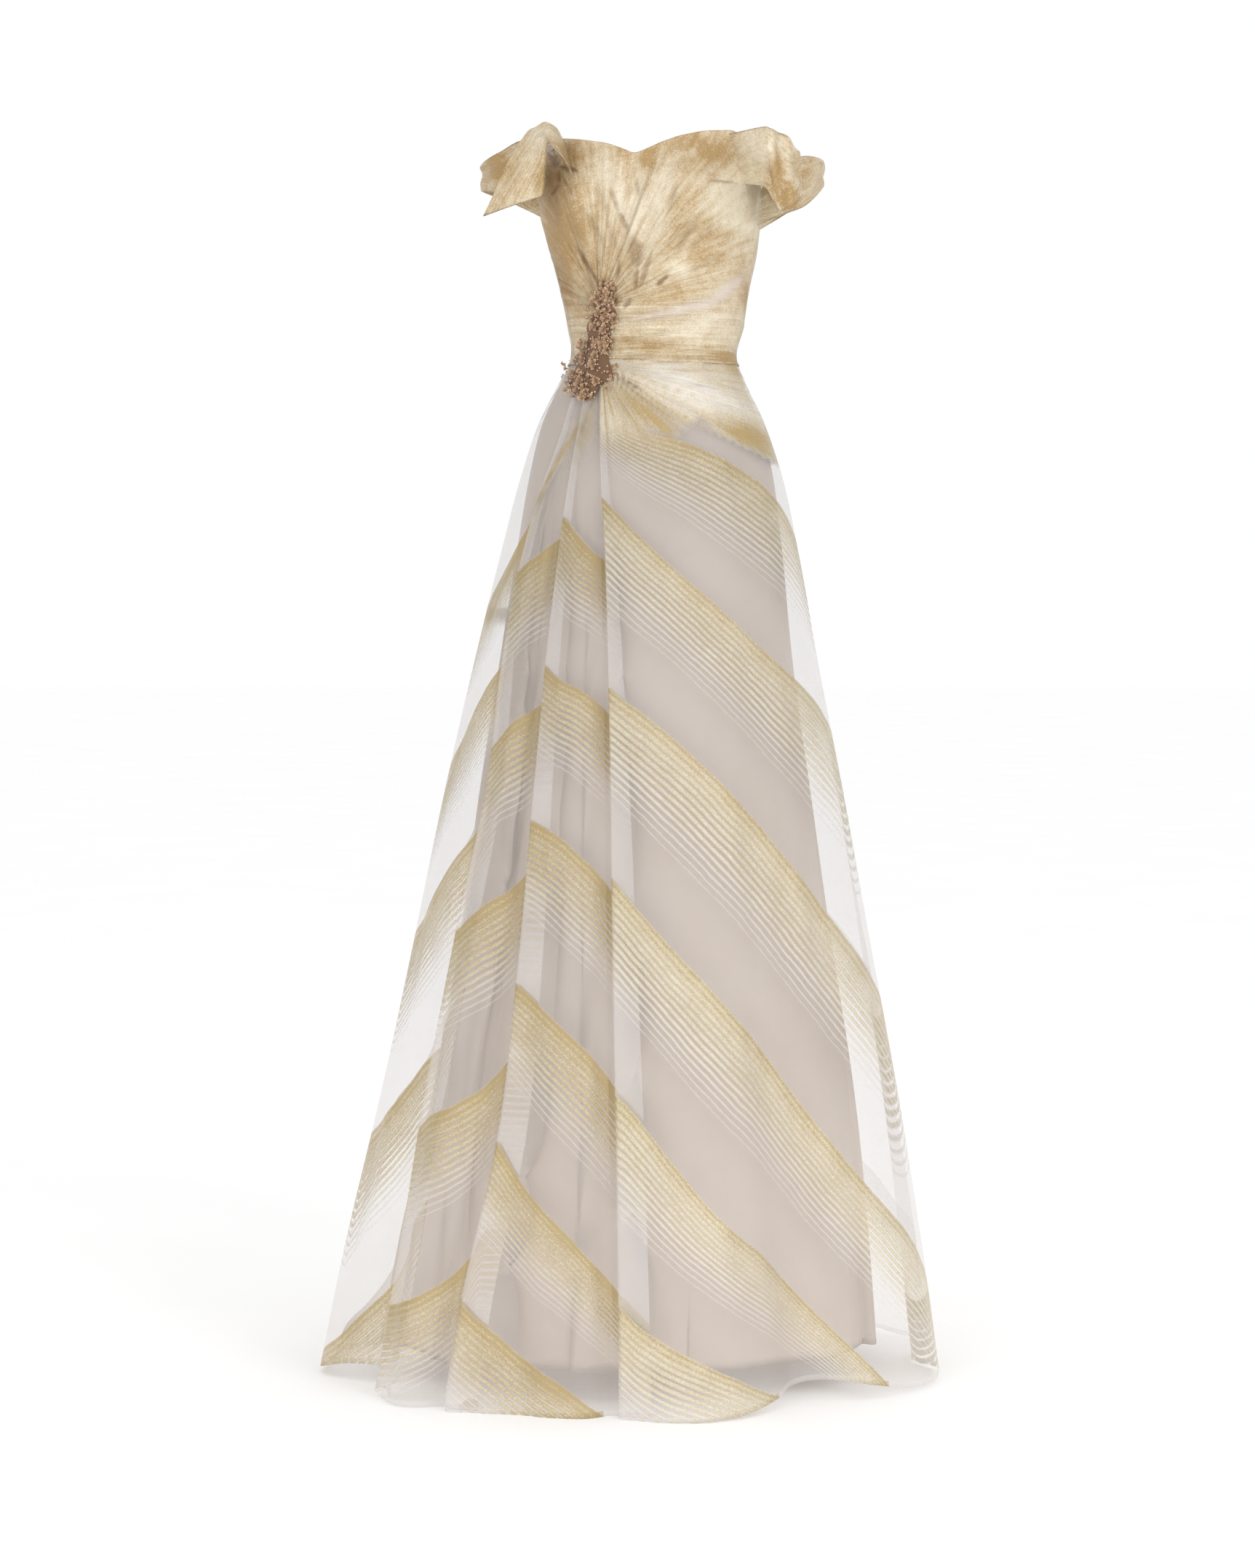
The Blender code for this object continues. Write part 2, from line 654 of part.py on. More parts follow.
def petal_height(along, across, spine_metres, half):
    """Raised flowers of the spray: each is a ring of round petals about a hollow centre."""
    height = np.zeros_like(along)
    for flower in range(len(SPRAY_FLOWERS["along"])):
        u = (along - SPRAY_FLOWERS["along"][flower]) * spine_metres
        v = (across - SPRAY_FLOWERS["across"][flower]) * half
        size = SPRAY_FLOWERS["size"][flower]
        radius = np.hypot(u, v) / size
        turn = np.arctan2(v, u) * PETALS / 2 + math.radians(SPRAY_FLOWERS["turn"][flower])
        petal = 0.62 + 0.38 * np.abs(np.cos(turn))
        dome = np.clip(1.0 - (radius / petal) ** 2, 0.0, 1.0) ** 0.5
        hollow = 1.0 - 0.45 * np.exp(-((radius / 0.25) ** 2))
        height = np.maximum(height, dome * hollow)
    return height


def waist_spray(columns, rows, material):
    """The spray of flowers: a patch that follows the waist, with the flowers raised on its outside."""
    along = np.linspace(0.0, 1.0, rows)
    x = curve(along, SPRAY_SPINE["along"], SPRAY_SPINE["x"])
    height = curve(along, SPRAY_SPINE["along"], SPRAY_SPINE["height"])
    half = curve(along, SPRAY_SPINE["along"], SPRAY_SPINE["half"])
    dx, dh = np.gradient(x), np.gradient(height)
    length = np.hypot(dx, dh)
    across_x, across_h = -dh / length, dx / length
    spine_metres = length.sum()
    faces, backs = [], []
    for across in np.linspace(-1.0, 1.0, columns + 1):
        ragged = half * (1.0 + 0.13 * np.sin(11.0 * math.pi * along + 2.0 * across))
        px = x + across_x * ragged * across
        ph = height + across_h * ragged * across
        share = (px - section("centre", ph)) / section("side", ph)
        angle = -np.degrees(np.arccos(np.clip(share, -0.965, 0.965)))
        on_skirt = ease((WAIST_HEIGHT + 0.016 - ph) / 0.014)
        under = SPRAY_LIFT + gather_rise(angle, ph) + stack_height(ph) * on_skirt
        petals = petal_height(along, np.full_like(along, across), spine_metres, half)
        backs.append(shell(angle, ph, under))
        faces.append(shell(angle, ph, under + SPRAY_BASE + SPRAY_PETAL * petals))
    add_wall("waist_spray", np.array(faces), np.array(backs), material, round_shade=False)


def clear_scene():
    for old in list(bpy.data.objects):
        bpy.data.objects.remove(old)


def main():
    clear_scene()
    organza = cloth_material("striped_organza", CREAM, 0.45, 0.0)
    lame = cloth_material("gold_lame", GOLD, 0.38, 0.35)
    pale_lame = cloth_material("pale_gold_lame", PALE_GOLD, 0.40, 0.25)
    satin = cloth_material("nude_lining", NUDE, 0.5, 0.0)
    flowers = cloth_material("rose_brown_flowers", ROSE_BROWN, 0.5, 0.2)

    right_front, right_back = plain_seam(RIGHT_SEAM, -1), plain_seam(RIGHT_SEAM, 1)
    skirt_panel("skirt_front_right", FOLD_RIGHT, right_front, 26, organza, gathered=True)
    skirt_panel("skirt_front_centre", FOLD_MIDDLE, FOLD_RIGHT, 11, organza)
    skirt_panel("skirt_front_left", FOLD_LEFT, FOLD_MIDDLE, 8, organza)
    skirt_panel("skirt_back_right", right_back, zip_edge(-1), 19, organza)
    skirt_panel("skirt_back_left", zip_edge(1), FOLD_LEFT, 28, organza)

    lining_panel("lining_front", plain_seam(-180.0, 1), plain_seam(0.0, -1), 14, satin)
    lining_panel("lining_back", plain_seam(0.0, 1), plain_seam(180.0, -1), 14, satin)

    bodice_panel("bodice_front", plain_seam(-180.0, 1), plain_seam(0.0, -1), 48, lame, gathered=True)
    bodice_panel("bodice_back_right", plain_seam(0.0, 1), zip_edge(-1), 9, lame)
    bodice_panel("bodice_back_left", zip_edge(1), plain_seam(180.0, -1), 9, lame)
    add_zip(pale_lame)

    left_front, left_behind = (-160.0, -160.0, 1.434, 1.452), (150.0, 150.0, 1.392, 1.419)
    right_front, right_behind = (-20.0, -20.0, 1.384, 1.430), (30.0, 30.0, 1.376, 1.406)
    sleeve_band("sleeve_left_band", LEFT_BAND, left_front, left_behind, 5, 16, lame)
    sleeve_band("sleeve_right_band", RIGHT_BAND, right_front, right_behind, 5, 16, lame)
    bow_root = root_row(-136.0, -127.0, 1.4775, 1.434, 7, SEAM_GAP)
    folded_piece("sleeve_left_bow", LEFT_BOW, bow_root, 7, 12, pale_lame, -1.0, 0.004)
    puff_root = root_row(-50.0, -34.0, 1.4885, 1.410, 7, SEAM_GAP + 0.0004)
    folded_piece("sleeve_right_puff", RIGHT_PUFF, puff_root, 7, 12, pale_lame, 1.0, 0.006)

    waist_spray(10, 30, flowers)


main()
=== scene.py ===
import math

import bpy
import numpy as np
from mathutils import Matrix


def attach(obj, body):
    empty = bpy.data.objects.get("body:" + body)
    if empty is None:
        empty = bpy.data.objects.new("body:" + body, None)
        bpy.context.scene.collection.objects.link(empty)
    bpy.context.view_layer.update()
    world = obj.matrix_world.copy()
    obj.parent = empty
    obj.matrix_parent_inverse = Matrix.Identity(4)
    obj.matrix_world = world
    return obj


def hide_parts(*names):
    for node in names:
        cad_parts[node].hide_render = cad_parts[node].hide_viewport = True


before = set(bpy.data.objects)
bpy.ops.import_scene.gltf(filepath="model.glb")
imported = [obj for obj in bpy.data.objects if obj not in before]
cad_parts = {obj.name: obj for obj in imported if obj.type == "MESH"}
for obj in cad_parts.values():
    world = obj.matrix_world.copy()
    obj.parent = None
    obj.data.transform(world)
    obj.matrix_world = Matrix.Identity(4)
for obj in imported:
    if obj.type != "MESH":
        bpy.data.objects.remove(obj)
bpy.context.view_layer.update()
scene = bpy.context.scene
random = np.random.default_rng(11)


def table(names, *rows):
    # each name gives its column as an array
    return dict(zip(names.split(), np.array(rows, float).T))


# Heights are metres above the hem. Angles go round the body, seen from above: 0 is +X, -90 the centre front.
body = {
    "holdHeight": 1.400,
    "waist": 1.2225,
    "seamGap": 0.0003,
    "skirtCloth": 0.0010,
    "bodiceCloth": 0.0015,
    "sleeveCloth": 0.0013,
}
sections = table(
    "height centre side front back",
    (0.000, -0.021, 0.372, 0.285, 0.360),
    (0.160, -0.017, 0.346, 0.262, 0.328),
    (0.340, -0.011, 0.312, 0.235, 0.288),
    (0.520, -0.009, 0.277, 0.208, 0.250),
    (0.700, -0.008, 0.243, 0.180, 0.215),
    (0.870, -0.006, 0.207, 0.153, 0.182),
    (1.000, -0.002, 0.179, 0.130, 0.155),
    (1.090, 0.000, 0.157, 0.112, 0.135),
    (1.156, 0.000, 0.134, 0.098, 0.114),
    (1.200, 0.001, 0.112, 0.087, 0.092),
    (1.228, 0.003, 0.100, 0.080, 0.078),
    (1.265, 0.005, 0.106, 0.082, 0.080),
    (1.309, 0.004, 0.114, 0.087, 0.085),
    (1.352, 0.003, 0.124, 0.093, 0.091),
    (1.396, 0.000, 0.132, 0.098, 0.096),
    (1.440, 0.000, 0.137, 0.098, 0.097),
    (1.500, 0.000, 0.139, 0.094, 0.096),
)
foldRight = table(
    "height x",
    (0.008, -0.031),
    (0.226, -0.035),
    (0.511, -0.041),
    (0.776, -0.046),
    (0.994, -0.053),
    (1.100, -0.059),
    (1.223, -0.060),
)
foldMiddle = table(
    "height x",
    (0.017, -0.231),
    (0.129, -0.213),
    (0.311, -0.174),
    (0.511, -0.151),
    (0.726, -0.133),
    (0.944, -0.113),
    (1.079, -0.096),
    (1.165, -0.081),
    (1.223, -0.071),
)
foldLeft = table(
    "height x",
    (0.001, -0.320),
    (0.118, -0.296),
    (0.307, -0.269),
    (0.552, -0.223),
    (0.729, -0.188),
    (0.858, -0.174),
    (0.958, -0.158),
    (1.062, -0.131),
    (1.140, -0.104),
    (1.223, -0.082),
)
foldDepth = table(
    "height air hidden",
    (0.00, 0.0120, 0.030),
    (0.40, 0.0080, 0.026),
    (0.80, 0.0045, 0.016),
    (1.05, 0.0020, 0.008),
    (1.2225, 0.0008, 0.003),
)
valley = table(
    "height depth fromEdge width",
    (0.00, 0.0100, 0.016, 0.018),
    (0.40, 0.0110, 0.014, 0.016),
    (0.80, 0.0090, 0.011, 0.013),
    (1.05, 0.0050, 0.008, 0.009),
    (1.18, 0.0000, 0.005, 0.006),
)
flutes = table(
    "angle width depth fades",
    (-172.0, 10.0, 0.012, 0.90),
    (-153.0, 8.0, -0.050, 0.55),
    (-134.0, 7.0, 0.014, 0.60),
    (-112.0, 9.0, -0.010, 0.70),
    (-92.0, 5.0, -0.012, 0.50),
    (-78.0, 8.0, 0.014, 0.65),
    (-54.0, 10.0, -0.040, 0.60),
    (-24.0, 11.0, 0.012, 0.90),
    (4.0, 7.0, -0.026, 0.95),
    (22.0, 8.0, 0.022, 1.05),
    (42.0, 7.0, -0.034, 1.00),
    (60.0, 8.0, 0.024, 1.10),
    (78.0, 7.0, -0.032, 1.00),
    (98.0, 8.0, 0.026, 1.10),
    (118.0, 7.0, -0.036, 1.00),
    (136.0, 8.0, 0.022, 1.05),
    (156.0, 7.0, -0.030, 0.95),
)
hemLifts = table(
    "angle width lift",
    (-158.0, 14.0, 0.022),
    (-50.0, 16.0, 0.024),
    (-14.0, 14.0, 0.006),
    (42.0, 12.0, 0.012),
    (118.0, 14.0, 0.012),
)
cups = table(
    "x height swell width tall",
    (-0.083, 1.412, 0.024, 0.040, 0.052),
    (0.045, 1.412, 0.026, 0.046, 0.054),
)
neckTable = table(
    "angle height",
    (-180.0, 1.436),
    (-168.0, 1.458),
    (-155.0, 1.476),
    (-145.0, 1.483),
    (-136.0, 1.482),
    (-125.0, 1.479),
    (-112.0, 1.474),
    (-102.0, 1.465),
    (-98.8, 1.461),
    (-93.0, 1.466),
    (-86.0, 1.474),
    (-77.0, 1.482),
    (-64.0, 1.489),
    (-46.0, 1.492),
    (-34.0, 1.478),
    (-20.0, 1.436),
    (0.0, 1.402),
    (30.0, 1.410),
    (60.0, 1.416),
    (90.0, 1.418),
    (120.0, 1.418),
    (150.0, 1.424),
    (180.0, 1.436),
)
gathers = table(
    "x height angle reach rise width",
    (-0.058, 1.284, 156.0, 0.085, 0.0035, 0.010),
    (-0.058, 1.284, 128.0, 0.130, 0.0046, 0.011),
    (-0.058, 1.284, 104.0, 0.190, 0.0046, 0.011),
    (-0.058, 1.284, 86.0, 0.215, 0.0050, 0.011),
    (-0.058, 1.284, 67.0, 0.215, 0.0052, 0.012),
    (-0.058, 1.282, 47.0, 0.215, 0.0052, 0.013),
    (-0.060, 1.276, 28.0, 0.205, 0.0048, 0.013),
    (-0.062, 1.258, 12.0, 0.190, 0.0044, 0.012),
    (-0.064, 1.234, -3.0, 0.185, 0.0040, 0.011),
    (-0.064, 1.218, -19.0, 0.190, 0.0044, 0.013),
    (-0.064, 1.210, -40.0, 0.210, 0.0044, 0.015),
    (-0.064, 1.206, -60.0, 0.180, 0.0030, 0.014),
)


def curve(at, knots, values):
    # a cubic in each span, whose end slopes are the table's own
    slopes = np.gradient(values, knots)
    i = np.clip(np.searchsorted(knots, at) - 1, 0, len(knots) - 2)
    span = knots[i + 1] - knots[i]
    u = np.clip((at - knots[i]) / span, 0.0, 1.0)
    fromStart = (1 + 2 * u) * (1 - u) ** 2 * values[i] + u * (1 - u) ** 2 * span * slopes[i]
    toEnd = u**2 * (3 - 2 * u) * values[i + 1] - u**2 * (1 - u) * span * slopes[i + 1]
    return fromStart + toEnd


def ease(u):
    # 0 below 0, 1 above 1, smooth between
    u = np.clip(u, 0.0, 1.0)
    return u * u * (3 - 2 * u)


def turnBetween(a, b):
    return (a - b + 180.0) % 360.0 - 180.0


def section(name, height):
    return curve(height, sections["height"], sections[name])


def bumps(angle, centres, widths):
    # a bell round each centre
    return np.exp(-((turnBetween(angle[..., None], centres) / widths) ** 2))


def fluteDepth(angle, height):
    # each flute's bell, growing from the height where it has faded down to the hem
    grows = np.clip(1.0 - height[..., None] / flutes["fades"], 0.0, 1.0) ** 1.3
    return (bumps(angle, flutes["angle"], flutes["width"]) * flutes["depth"] * grows).sum(-1)


def foldAngle(fold, height):
    # the angle whose point is this far to the side, seen from the front
    share = (curve(height, fold["height"], fold["x"]) - section("centre", height)) / section("side", height)
    return -np.degrees(np.arccos(np.clip(share, -0.999, 0.999)))


def valleyDepth(angle, height):
    # beside each fold a bell of depth, narrower on the fold's own side
    depth, fromEdge, width = (curve(height, valley["height"], valley[k]) for k in ("depth", "fromEdge", "width"))
    metres = math.pi / 180.0 * (section("side", height) + section("front", height)) / 2
    sunk = np.zeros_like(angle)
    for fold in (foldRight, foldMiddle, foldLeft):
        away = turnBetween(angle, foldAngle(fold, height)) * metres + fromEdge
        sunk = sunk + depth * np.exp(-((away / np.where(away > 0, width * 0.45, width)) ** 2))
    return sunk


def cupSwell(x, height, inFront):
    reachX = ((x[..., None] - cups["x"]) / cups["width"]) ** 2
    reachUp = ((height[..., None] - cups["height"]) / cups["tall"]) ** 2
    return (cups["swell"] * np.exp(-reachX - reachUp)).sum(-1) * inFront


def form(angle, height):
    # half an ellipse in front and half behind, moved along its normal by flutes, valleys and cups
    t = np.radians(angle)
    side = section("side", height)
    depth = np.where(np.sin(t) < 0, section("front", height), section("back", height))
    x = section("centre", height) + side * np.cos(t)
    y = depth * np.sin(t)
    normal = np.stack([np.cos(t) / side, np.sin(t) / depth], -1)
    normal /= np.linalg.norm(normal, axis=-1, keepdims=True)
    swing = fluteDepth(angle, height) - valleyDepth(angle, height)
    swing = swing + cupSwell(x, height, ease(-np.sin(t) / 0.35))
    lifts = (bumps(angle, hemLifts["angle"], hemLifts["width"]) * hemLifts["lift"]).sum(-1)
    z = height + lifts * np.clip(1.0 - height / 0.30, 0.0, 1.0) ** 2
    return np.stack([x + normal[..., 0] * swing, y + normal[..., 1] * swing, z], -1)


def runOf(angle, height):
    # metres along the form for one degree, and the unit tangent, from a small step to either side
    step = (form(angle + 1e-4, height) - form(angle - 1e-4, height)) / 2e-4
    step[..., 2] = 0.0
    metres = np.linalg.norm(step, axis=-1)
    return metres, step / metres[..., None]


def shell(angle, height, out=0.0):
    # the form's point moved outwards, square to the form in plan
    angle, height = np.broadcast_arrays(np.asarray(angle, float), np.asarray(height, float))
    tangent = runOf(angle, height)[1]
    normal = np.stack([tangent[..., 1], -tangent[..., 0], np.zeros_like(angle)], -1)
    return form(angle, height) + normal * np.broadcast_to(out, angle.shape)[..., None]


def gatherRise(angle, height):
    # each gather is a bell across its ray, as seen from the front, and rises and fades along it
    point = form(angle, height)
    alongX, alongH = np.cos(np.radians(gathers["angle"])), np.sin(np.radians(gathers["angle"]))
    dx = point[..., 0, None] - gathers["x"]
    dh = height[..., None] - gathers["height"]
    share = (dx * alongX + dh * alongH) / gathers["reach"]
    width = gathers["width"] * (0.35 + 0.65 * np.clip(share, 0.0, 1.0))
    lengthWise = ease(share / 0.24) * ease((1.0 - share) / 0.6)
    rises = gathers["rise"] * lengthWise * np.exp(-(((dx * alongH - dh * alongX) / width) ** 2))
    return rises.sum(-1) * ease(-np.sin(np.radians(angle)) / 0.3)


# The fine gathers and the creases, in the plane seen from the front (x, height)
draping = {"fine": 0.0016, "waves": 560.0, "top": 1.284, "bottom": 1.215, "spineX": -0.060, "spread": 0.085}
# the last column is the share of painted shade laid along each crease's trough
creases = table(
    "x1 height1 x2 height2 width depth dark",
    (-0.0896, 1.3564, -0.0602, 1.3063, 0.0026, 0.0040, 1.00),
    (-0.0499, 1.4221, -0.0386, 1.3927, 0.0026, 0.0030, 0.60),
    (-0.0386, 1.3927, -0.0291, 1.3720, 0.0026, 0.0030, 0.60),
    (-0.0239, 1.3651, -0.0170, 1.3288, 0.0069, 0.0045, 0.62),
    (-0.0170, 1.3288, -0.0196, 1.3046, 0.0026, 0.0030, 0.80),
    (-0.0386, 1.3374, -0.0412, 1.3132, 0.0030, 0.0030, 0.75),
    (0.0002, 1.3478, -0.0144, 1.3063, 0.0026, 0.0030, 0.65),
    (0.0193, 1.3210, 0.0054, 1.3072, 0.0026, 0.0040, 1.00),
    (-0.0239, 1.2933, -0.0343, 1.2813, 0.0026, 0.0030, 0.80),
    (0.0676, 1.4290, 0.1005, 1.4299, 0.0016, 0.0015, 0.75),
    (0.0279, 1.4273, 0.0175, 1.3910, 0.0035, 0.0020, 0.38),
    (0.0573, 1.3823, 0.0262, 1.3461, 0.0035, 0.0025, 0.48),
    (-0.0196, 1.4316, -0.0162, 1.4134, 0.0022, 0.0020, 0.50),
    (0.0771, 1.3754, 0.0426, 1.3478, 0.0035, 0.0020, 0.32),
    (-0.0671, 1.4238, -0.0533, 1.3867, 0.0043, 0.0020, 0.32),
    (-0.0533, 1.3867, -0.0430, 1.3478, 0.0035, 0.0020, 0.32),
    (-0.0827, 1.3996, -0.0551, 1.3521, 0.0035, 0.0020, 0.34),
    (-0.1000, 1.3478, -0.0637, 1.3029, 0.0043, 0.0020, 0.20),
    (-0.1129, 1.3175, -0.0723, 1.2830, 0.0043, 0.0020, 0.22),
    (-0.0455, 1.2018, -0.0110, 1.1853, 0.0030, 0.0040, 1.00),
    (-0.0646, 1.1853, -0.0758, 1.1577, 0.0026, 0.0040, 1.00),
    (-0.0758, 1.1577, -0.0853, 1.1301, 0.0022, 0.0030, 0.70),
    (-0.0836, 1.1793, -0.0931, 1.1491, 0.0043, 0.0030, 0.60),
    (-0.1242, 1.4808, -0.1173, 1.4532, 0.0052, 0.0040, 1.00),
    (-0.1190, 1.4653, -0.1121, 1.4463, 0.0060, 0.0040, 1.00),
    (-0.1121, 1.4497, -0.0870, 1.4402, 0.0026, 0.0030, 0.95),
    (-0.1103, 1.4445, -0.1095, 1.4290, 0.0022, 0.0020, 0.85),
    (-0.1095, 1.4290, -0.1199, 1.4143, 0.0022, 0.0020, 0.85),
    (-0.1069, 1.4376, -0.0931, 1.4134, 0.0019, 0.0015, 0.48),
    (-0.1199, 1.4238, -0.1103, 1.3806, 0.0060, 0.0010, 0.36),
    (-0.0395, 1.2614, 0.0253, 1.2726, 0.0026, 0.0015, 0.22),
    (-0.0378, 1.2441, 0.0296, 1.2545, 0.0026, 0.0015, 0.22),
    (-0.0395, 1.2234, 0.0080, 1.2251, 0.0035, 0.0020, 0.45),
    (0.0080, 1.2251, 0.1005, 1.2225, 0.0026, 0.0015, 0.32),
    (-0.0438, 1.2139, 0.0296, 1.2009, 0.0026, 0.0015, 0.22),
    (-0.0395, 1.1923, 0.0555, 1.1404, 0.0035, 0.0020, 0.30),
    (-0.0481, 1.1836, 0.0037, 1.1231, 0.0035, 0.0020, 0.28),
)


def fanPlace(x, height):
    # distance from the spray's spine, and a coordinate that runs round it: heights beside it, arcs above and below
    near = np.clip(height, draping["bottom"], draping["top"])
    dx, dh = x - draping["spineX"], height - near
    away = np.hypot(dx, dh)
    turn = np.arctan2(dh, np.abs(dx)) * draping["spread"]
    right = near + turn
    left = 2 * draping["top"] + math.pi * draping["spread"] - right
    return away, np.where(dx >= 0, right, left)


def creaseAt(x, height, column):
    # a soft trough along each segment: a bell of the distance to it, eased at both ends
    ax, ah = creases["x1"], creases["height1"]
    dx, dh = creases["x2"] - ax, creases["height2"] - ah
    length = np.hypot(dx, dh)
    px, ph = x[..., None] - ax, height[..., None] - ah
    along = (px * dx + ph * dh) / length**2
    across = (px * dh - ph * dx) / length
    ends = ease((along + 0.15) / 0.45) * ease((1.15 - along) / 0.45)
    bells = ends * np.exp(-((across / (creases["width"] * (0.35 + 0.65 * ends))) ** 2))
    return (creases[column] * bells).max(-1)


def ridge(wave):
    # round ridges between narrow valleys, from -1 to 1
    return 2.0 * np.abs(np.sin(wave / 2)) ** 0.8 - 1.0


def fineFolds(x, height):
    # ridges of the fan coordinate in three sizes, whose phase drifts with the distance
    away, fan = fanPlace(x, height)
    drift = 1.1 * noise2(fan * 22 + 60, away * 14 + 60, 41)
    wave = draping["waves"] * fan + 3.0 * drift
    folds = 0.55 * ridge(wave) + 0.40 * ridge(0.43 * wave + 1.3 + 12.0 * away) + 0.25 * ridge(2.3 * wave + 0.7)
    strength = ease(away / 0.015) * (0.22 + 0.78 * ease((0.20 - away) / 0.13))
    strength = strength * (0.65 + 0.5 * noise2(fan * 60 + 30, away * 9 + 20, 43))
    return folds * strength


def fineGather(angle, height):
    # the folds of the front, less the troughs of the creases
    x = form(angle, height)[..., 0]
    inFront = ease(-np.sin(np.radians(angle)) / 0.25)
    return (draping["fine"] * fineFolds(x, height) - creaseAt(x, height, "depth")) * inFront


def noise1(at, seed):
    # smooth noise along a line: random knots, eased between
    knots = np.random.default_rng(seed).uniform(-1, 1, 512)
    i = np.floor(at).astype(int)
    u = ease(at - i)
    return knots[i % 512] * (1 - u) + knots[(i + 1) % 512] * u


def noise2(a, b, seed):
    # smooth noise over a plane: random corners, eased both ways
    corners = np.random.default_rng(seed).uniform(-1, 1, (128, 128))
    i, j = np.floor(a).astype(int), np.floor(b).astype(int)
    u, v = ease(a - i), ease(b - j)
    low = corners[i % 128, j % 128] * (1 - u) + corners[(i + 1) % 128, j % 128] * u
    high = corners[i % 128, (j + 1) % 128] * (1 - u) + corners[(i + 1) % 128, (j + 1) % 128] * u
    return low * (1 - v) + high * v


def meshFrom(name, points, faces, materials, slots=None, floats=None):
    # points are in metres with heights above the hem; faces are quads; floats are named values at the points
    points = np.array(points, float).reshape(-1, 3)
    points[:, 2] -= body["holdHeight"]
    faces = np.asarray(faces)
    mesh = bpy.data.meshes.new(name)
    mesh.vertices.add(len(points))
    mesh.vertices.foreach_set("co", points.ravel())
    mesh.loops.add(faces.size)
    mesh.loops.foreach_set("vertex_index", faces.ravel().astype(np.int32))
    mesh.polygons.add(len(faces))
    mesh.polygons.foreach_set("loop_start", np.arange(0, faces.size, faces.shape[1], dtype=np.int32))
    for material in materials:
        mesh.materials.append(material)
    if slots is not None:
        mesh.polygons.foreach_set("material_index", np.asarray(slots, np.int32))
    mesh.update(calc_edges=True)
    for key, values in (floats or {}).items():
        layer = mesh.attributes.new(key, "FLOAT", "POINT")
        layer.data.foreach_set("value", np.asarray(values, np.float32).ravel())
    mesh.shade_smooth()
    piece = bpy.data.objects.new(name, mesh)
    scene.collection.objects.link(piece)
    return piece


def gridFaces(across, up, first=0, flip=False):
    # the quads of a grid of points stored column by column
    at = np.arange(across * up).reshape(across, up) + first
    quads = np.stack([at[:-1, :-1], at[1:, :-1], at[1:, 1:], at[:-1, 1:]], -1).reshape(-1, 4)
    return quads[:, ::-1] if flip else quads


def gridNormals(grid):
    # square to both directions of the grid
    normal = np.cross(np.gradient(grid, axis=0), np.gradient(grid, axis=1))
    return normal / np.maximum(np.linalg.norm(normal, axis=-1, keepdims=True), 1e-12)


def areaOf(grid):
    # the cloth's own area: half the cross product of each quad's diagonals
    a, b = grid[1:, 1:] - grid[:-1, :-1], grid[1:, :-1] - grid[:-1, 1:]
    return float(np.linalg.norm(np.cross(a, b), axis=-1).sum() / 2)


def closedWall(grid, thickness, side):
    # two faces either side of the grid, joined round the border by a rim that stands a little proud
    normal = gridNormals(grid) * side
    outer, inner = grid + normal * thickness, grid
    across, up = grid.shape[:2]
    count = across * up
    at = np.arange(count).reshape(across, up)
    ring = np.concatenate([at[:, 0], at[-1, 1:], at[-2::-1, -1], at[0, -2:0:-1]])
    middle = (outer.reshape(-1, 3)[ring] + inner.reshape(-1, 3)[ring]) / 2
    centre = grid.reshape(-1, 3)[ring]
    inward = np.roll(centre, -1, 0) - np.roll(centre, 1, 0)
    outward = np.cross(inward, normal.reshape(-1, 3)[ring])
    outward /= np.maximum(np.linalg.norm(outward, axis=-1, keepdims=True), 1e-12)
    away = np.einsum("ij,ij->i", outward, centre - grid[across // 2, up // 2])
    outward *= np.where(away.sum() < 0, -1.0, 1.0)
    middle = middle + outward * thickness * 0.35
    rim = np.arange(len(ring)) + 2 * count
    after = np.roll(np.arange(len(ring)), -1)
    upper = np.stack([ring, ring[after], rim[after], rim], -1)
    lower = np.stack([rim, rim[after], ring[after] + count, ring + count], -1)
    faces = np.concatenate([gridFaces(across, up), gridFaces(across, up, count, True), upper, lower])
    points = np.concatenate([outer.reshape(-1, 3), inner.reshape(-1, 3), middle])
    return points, faces, np.concatenate([np.arange(count), np.arange(count), ring])


# Small helpers for node materials
def newMaterial(name):
    material = bpy.data.materials.new(name)
    material.use_nodes = True
    nodes = material.node_tree.nodes
    return material, nodes, material.node_tree.links, nodes["Principled BSDF"]


def join(links, value, socket):
    # a number or a colour is set on the socket, an output is linked to it
    if isinstance(value, tuple):
        socket.default_value = (*value, 1.0)
    elif isinstance(value, (int, float)):
        socket.default_value = value
    else:
        links.new(value, socket)


def mathNode(nodes, links, operation, *values):
    node = nodes.new("ShaderNodeMath")
    node.operation = operation
    for i, value in enumerate(values):
        join(links, value, node.inputs[i])
    return node.outputs[0]


def rangeNode(nodes, links, value, fromLow, fromHigh, toLow=0.0, toHigh=1.0):
    node = nodes.new("ShaderNodeMapRange")
    for i, number in enumerate((value, fromLow, fromHigh, toLow, toHigh)):
        join(links, number, node.inputs[i])
    return node.outputs[0]


def mixColour(nodes, links, share, a, b):
    node = nodes.new("ShaderNodeMix")
    node.data_type = "RGBA"
    for i, value in ((0, share), (6, a), (7, b)):
        join(links, value, node.inputs[i])
    return node.outputs[2]


def mixValue(nodes, links, share, a, b):
    node = nodes.new("ShaderNodeMix")
    for i, value in ((0, share), (2, a), (3, b)):
        join(links, value, node.inputs[i])
    return node.outputs[0]


def attribute(nodes, name):
    node = nodes.new("ShaderNodeAttribute")
    node.attribute_name = name
    return node.outputs["Fac"]


def objectPlace(nodes):
    return nodes.new("ShaderNodeTexCoord").outputs["Object"]


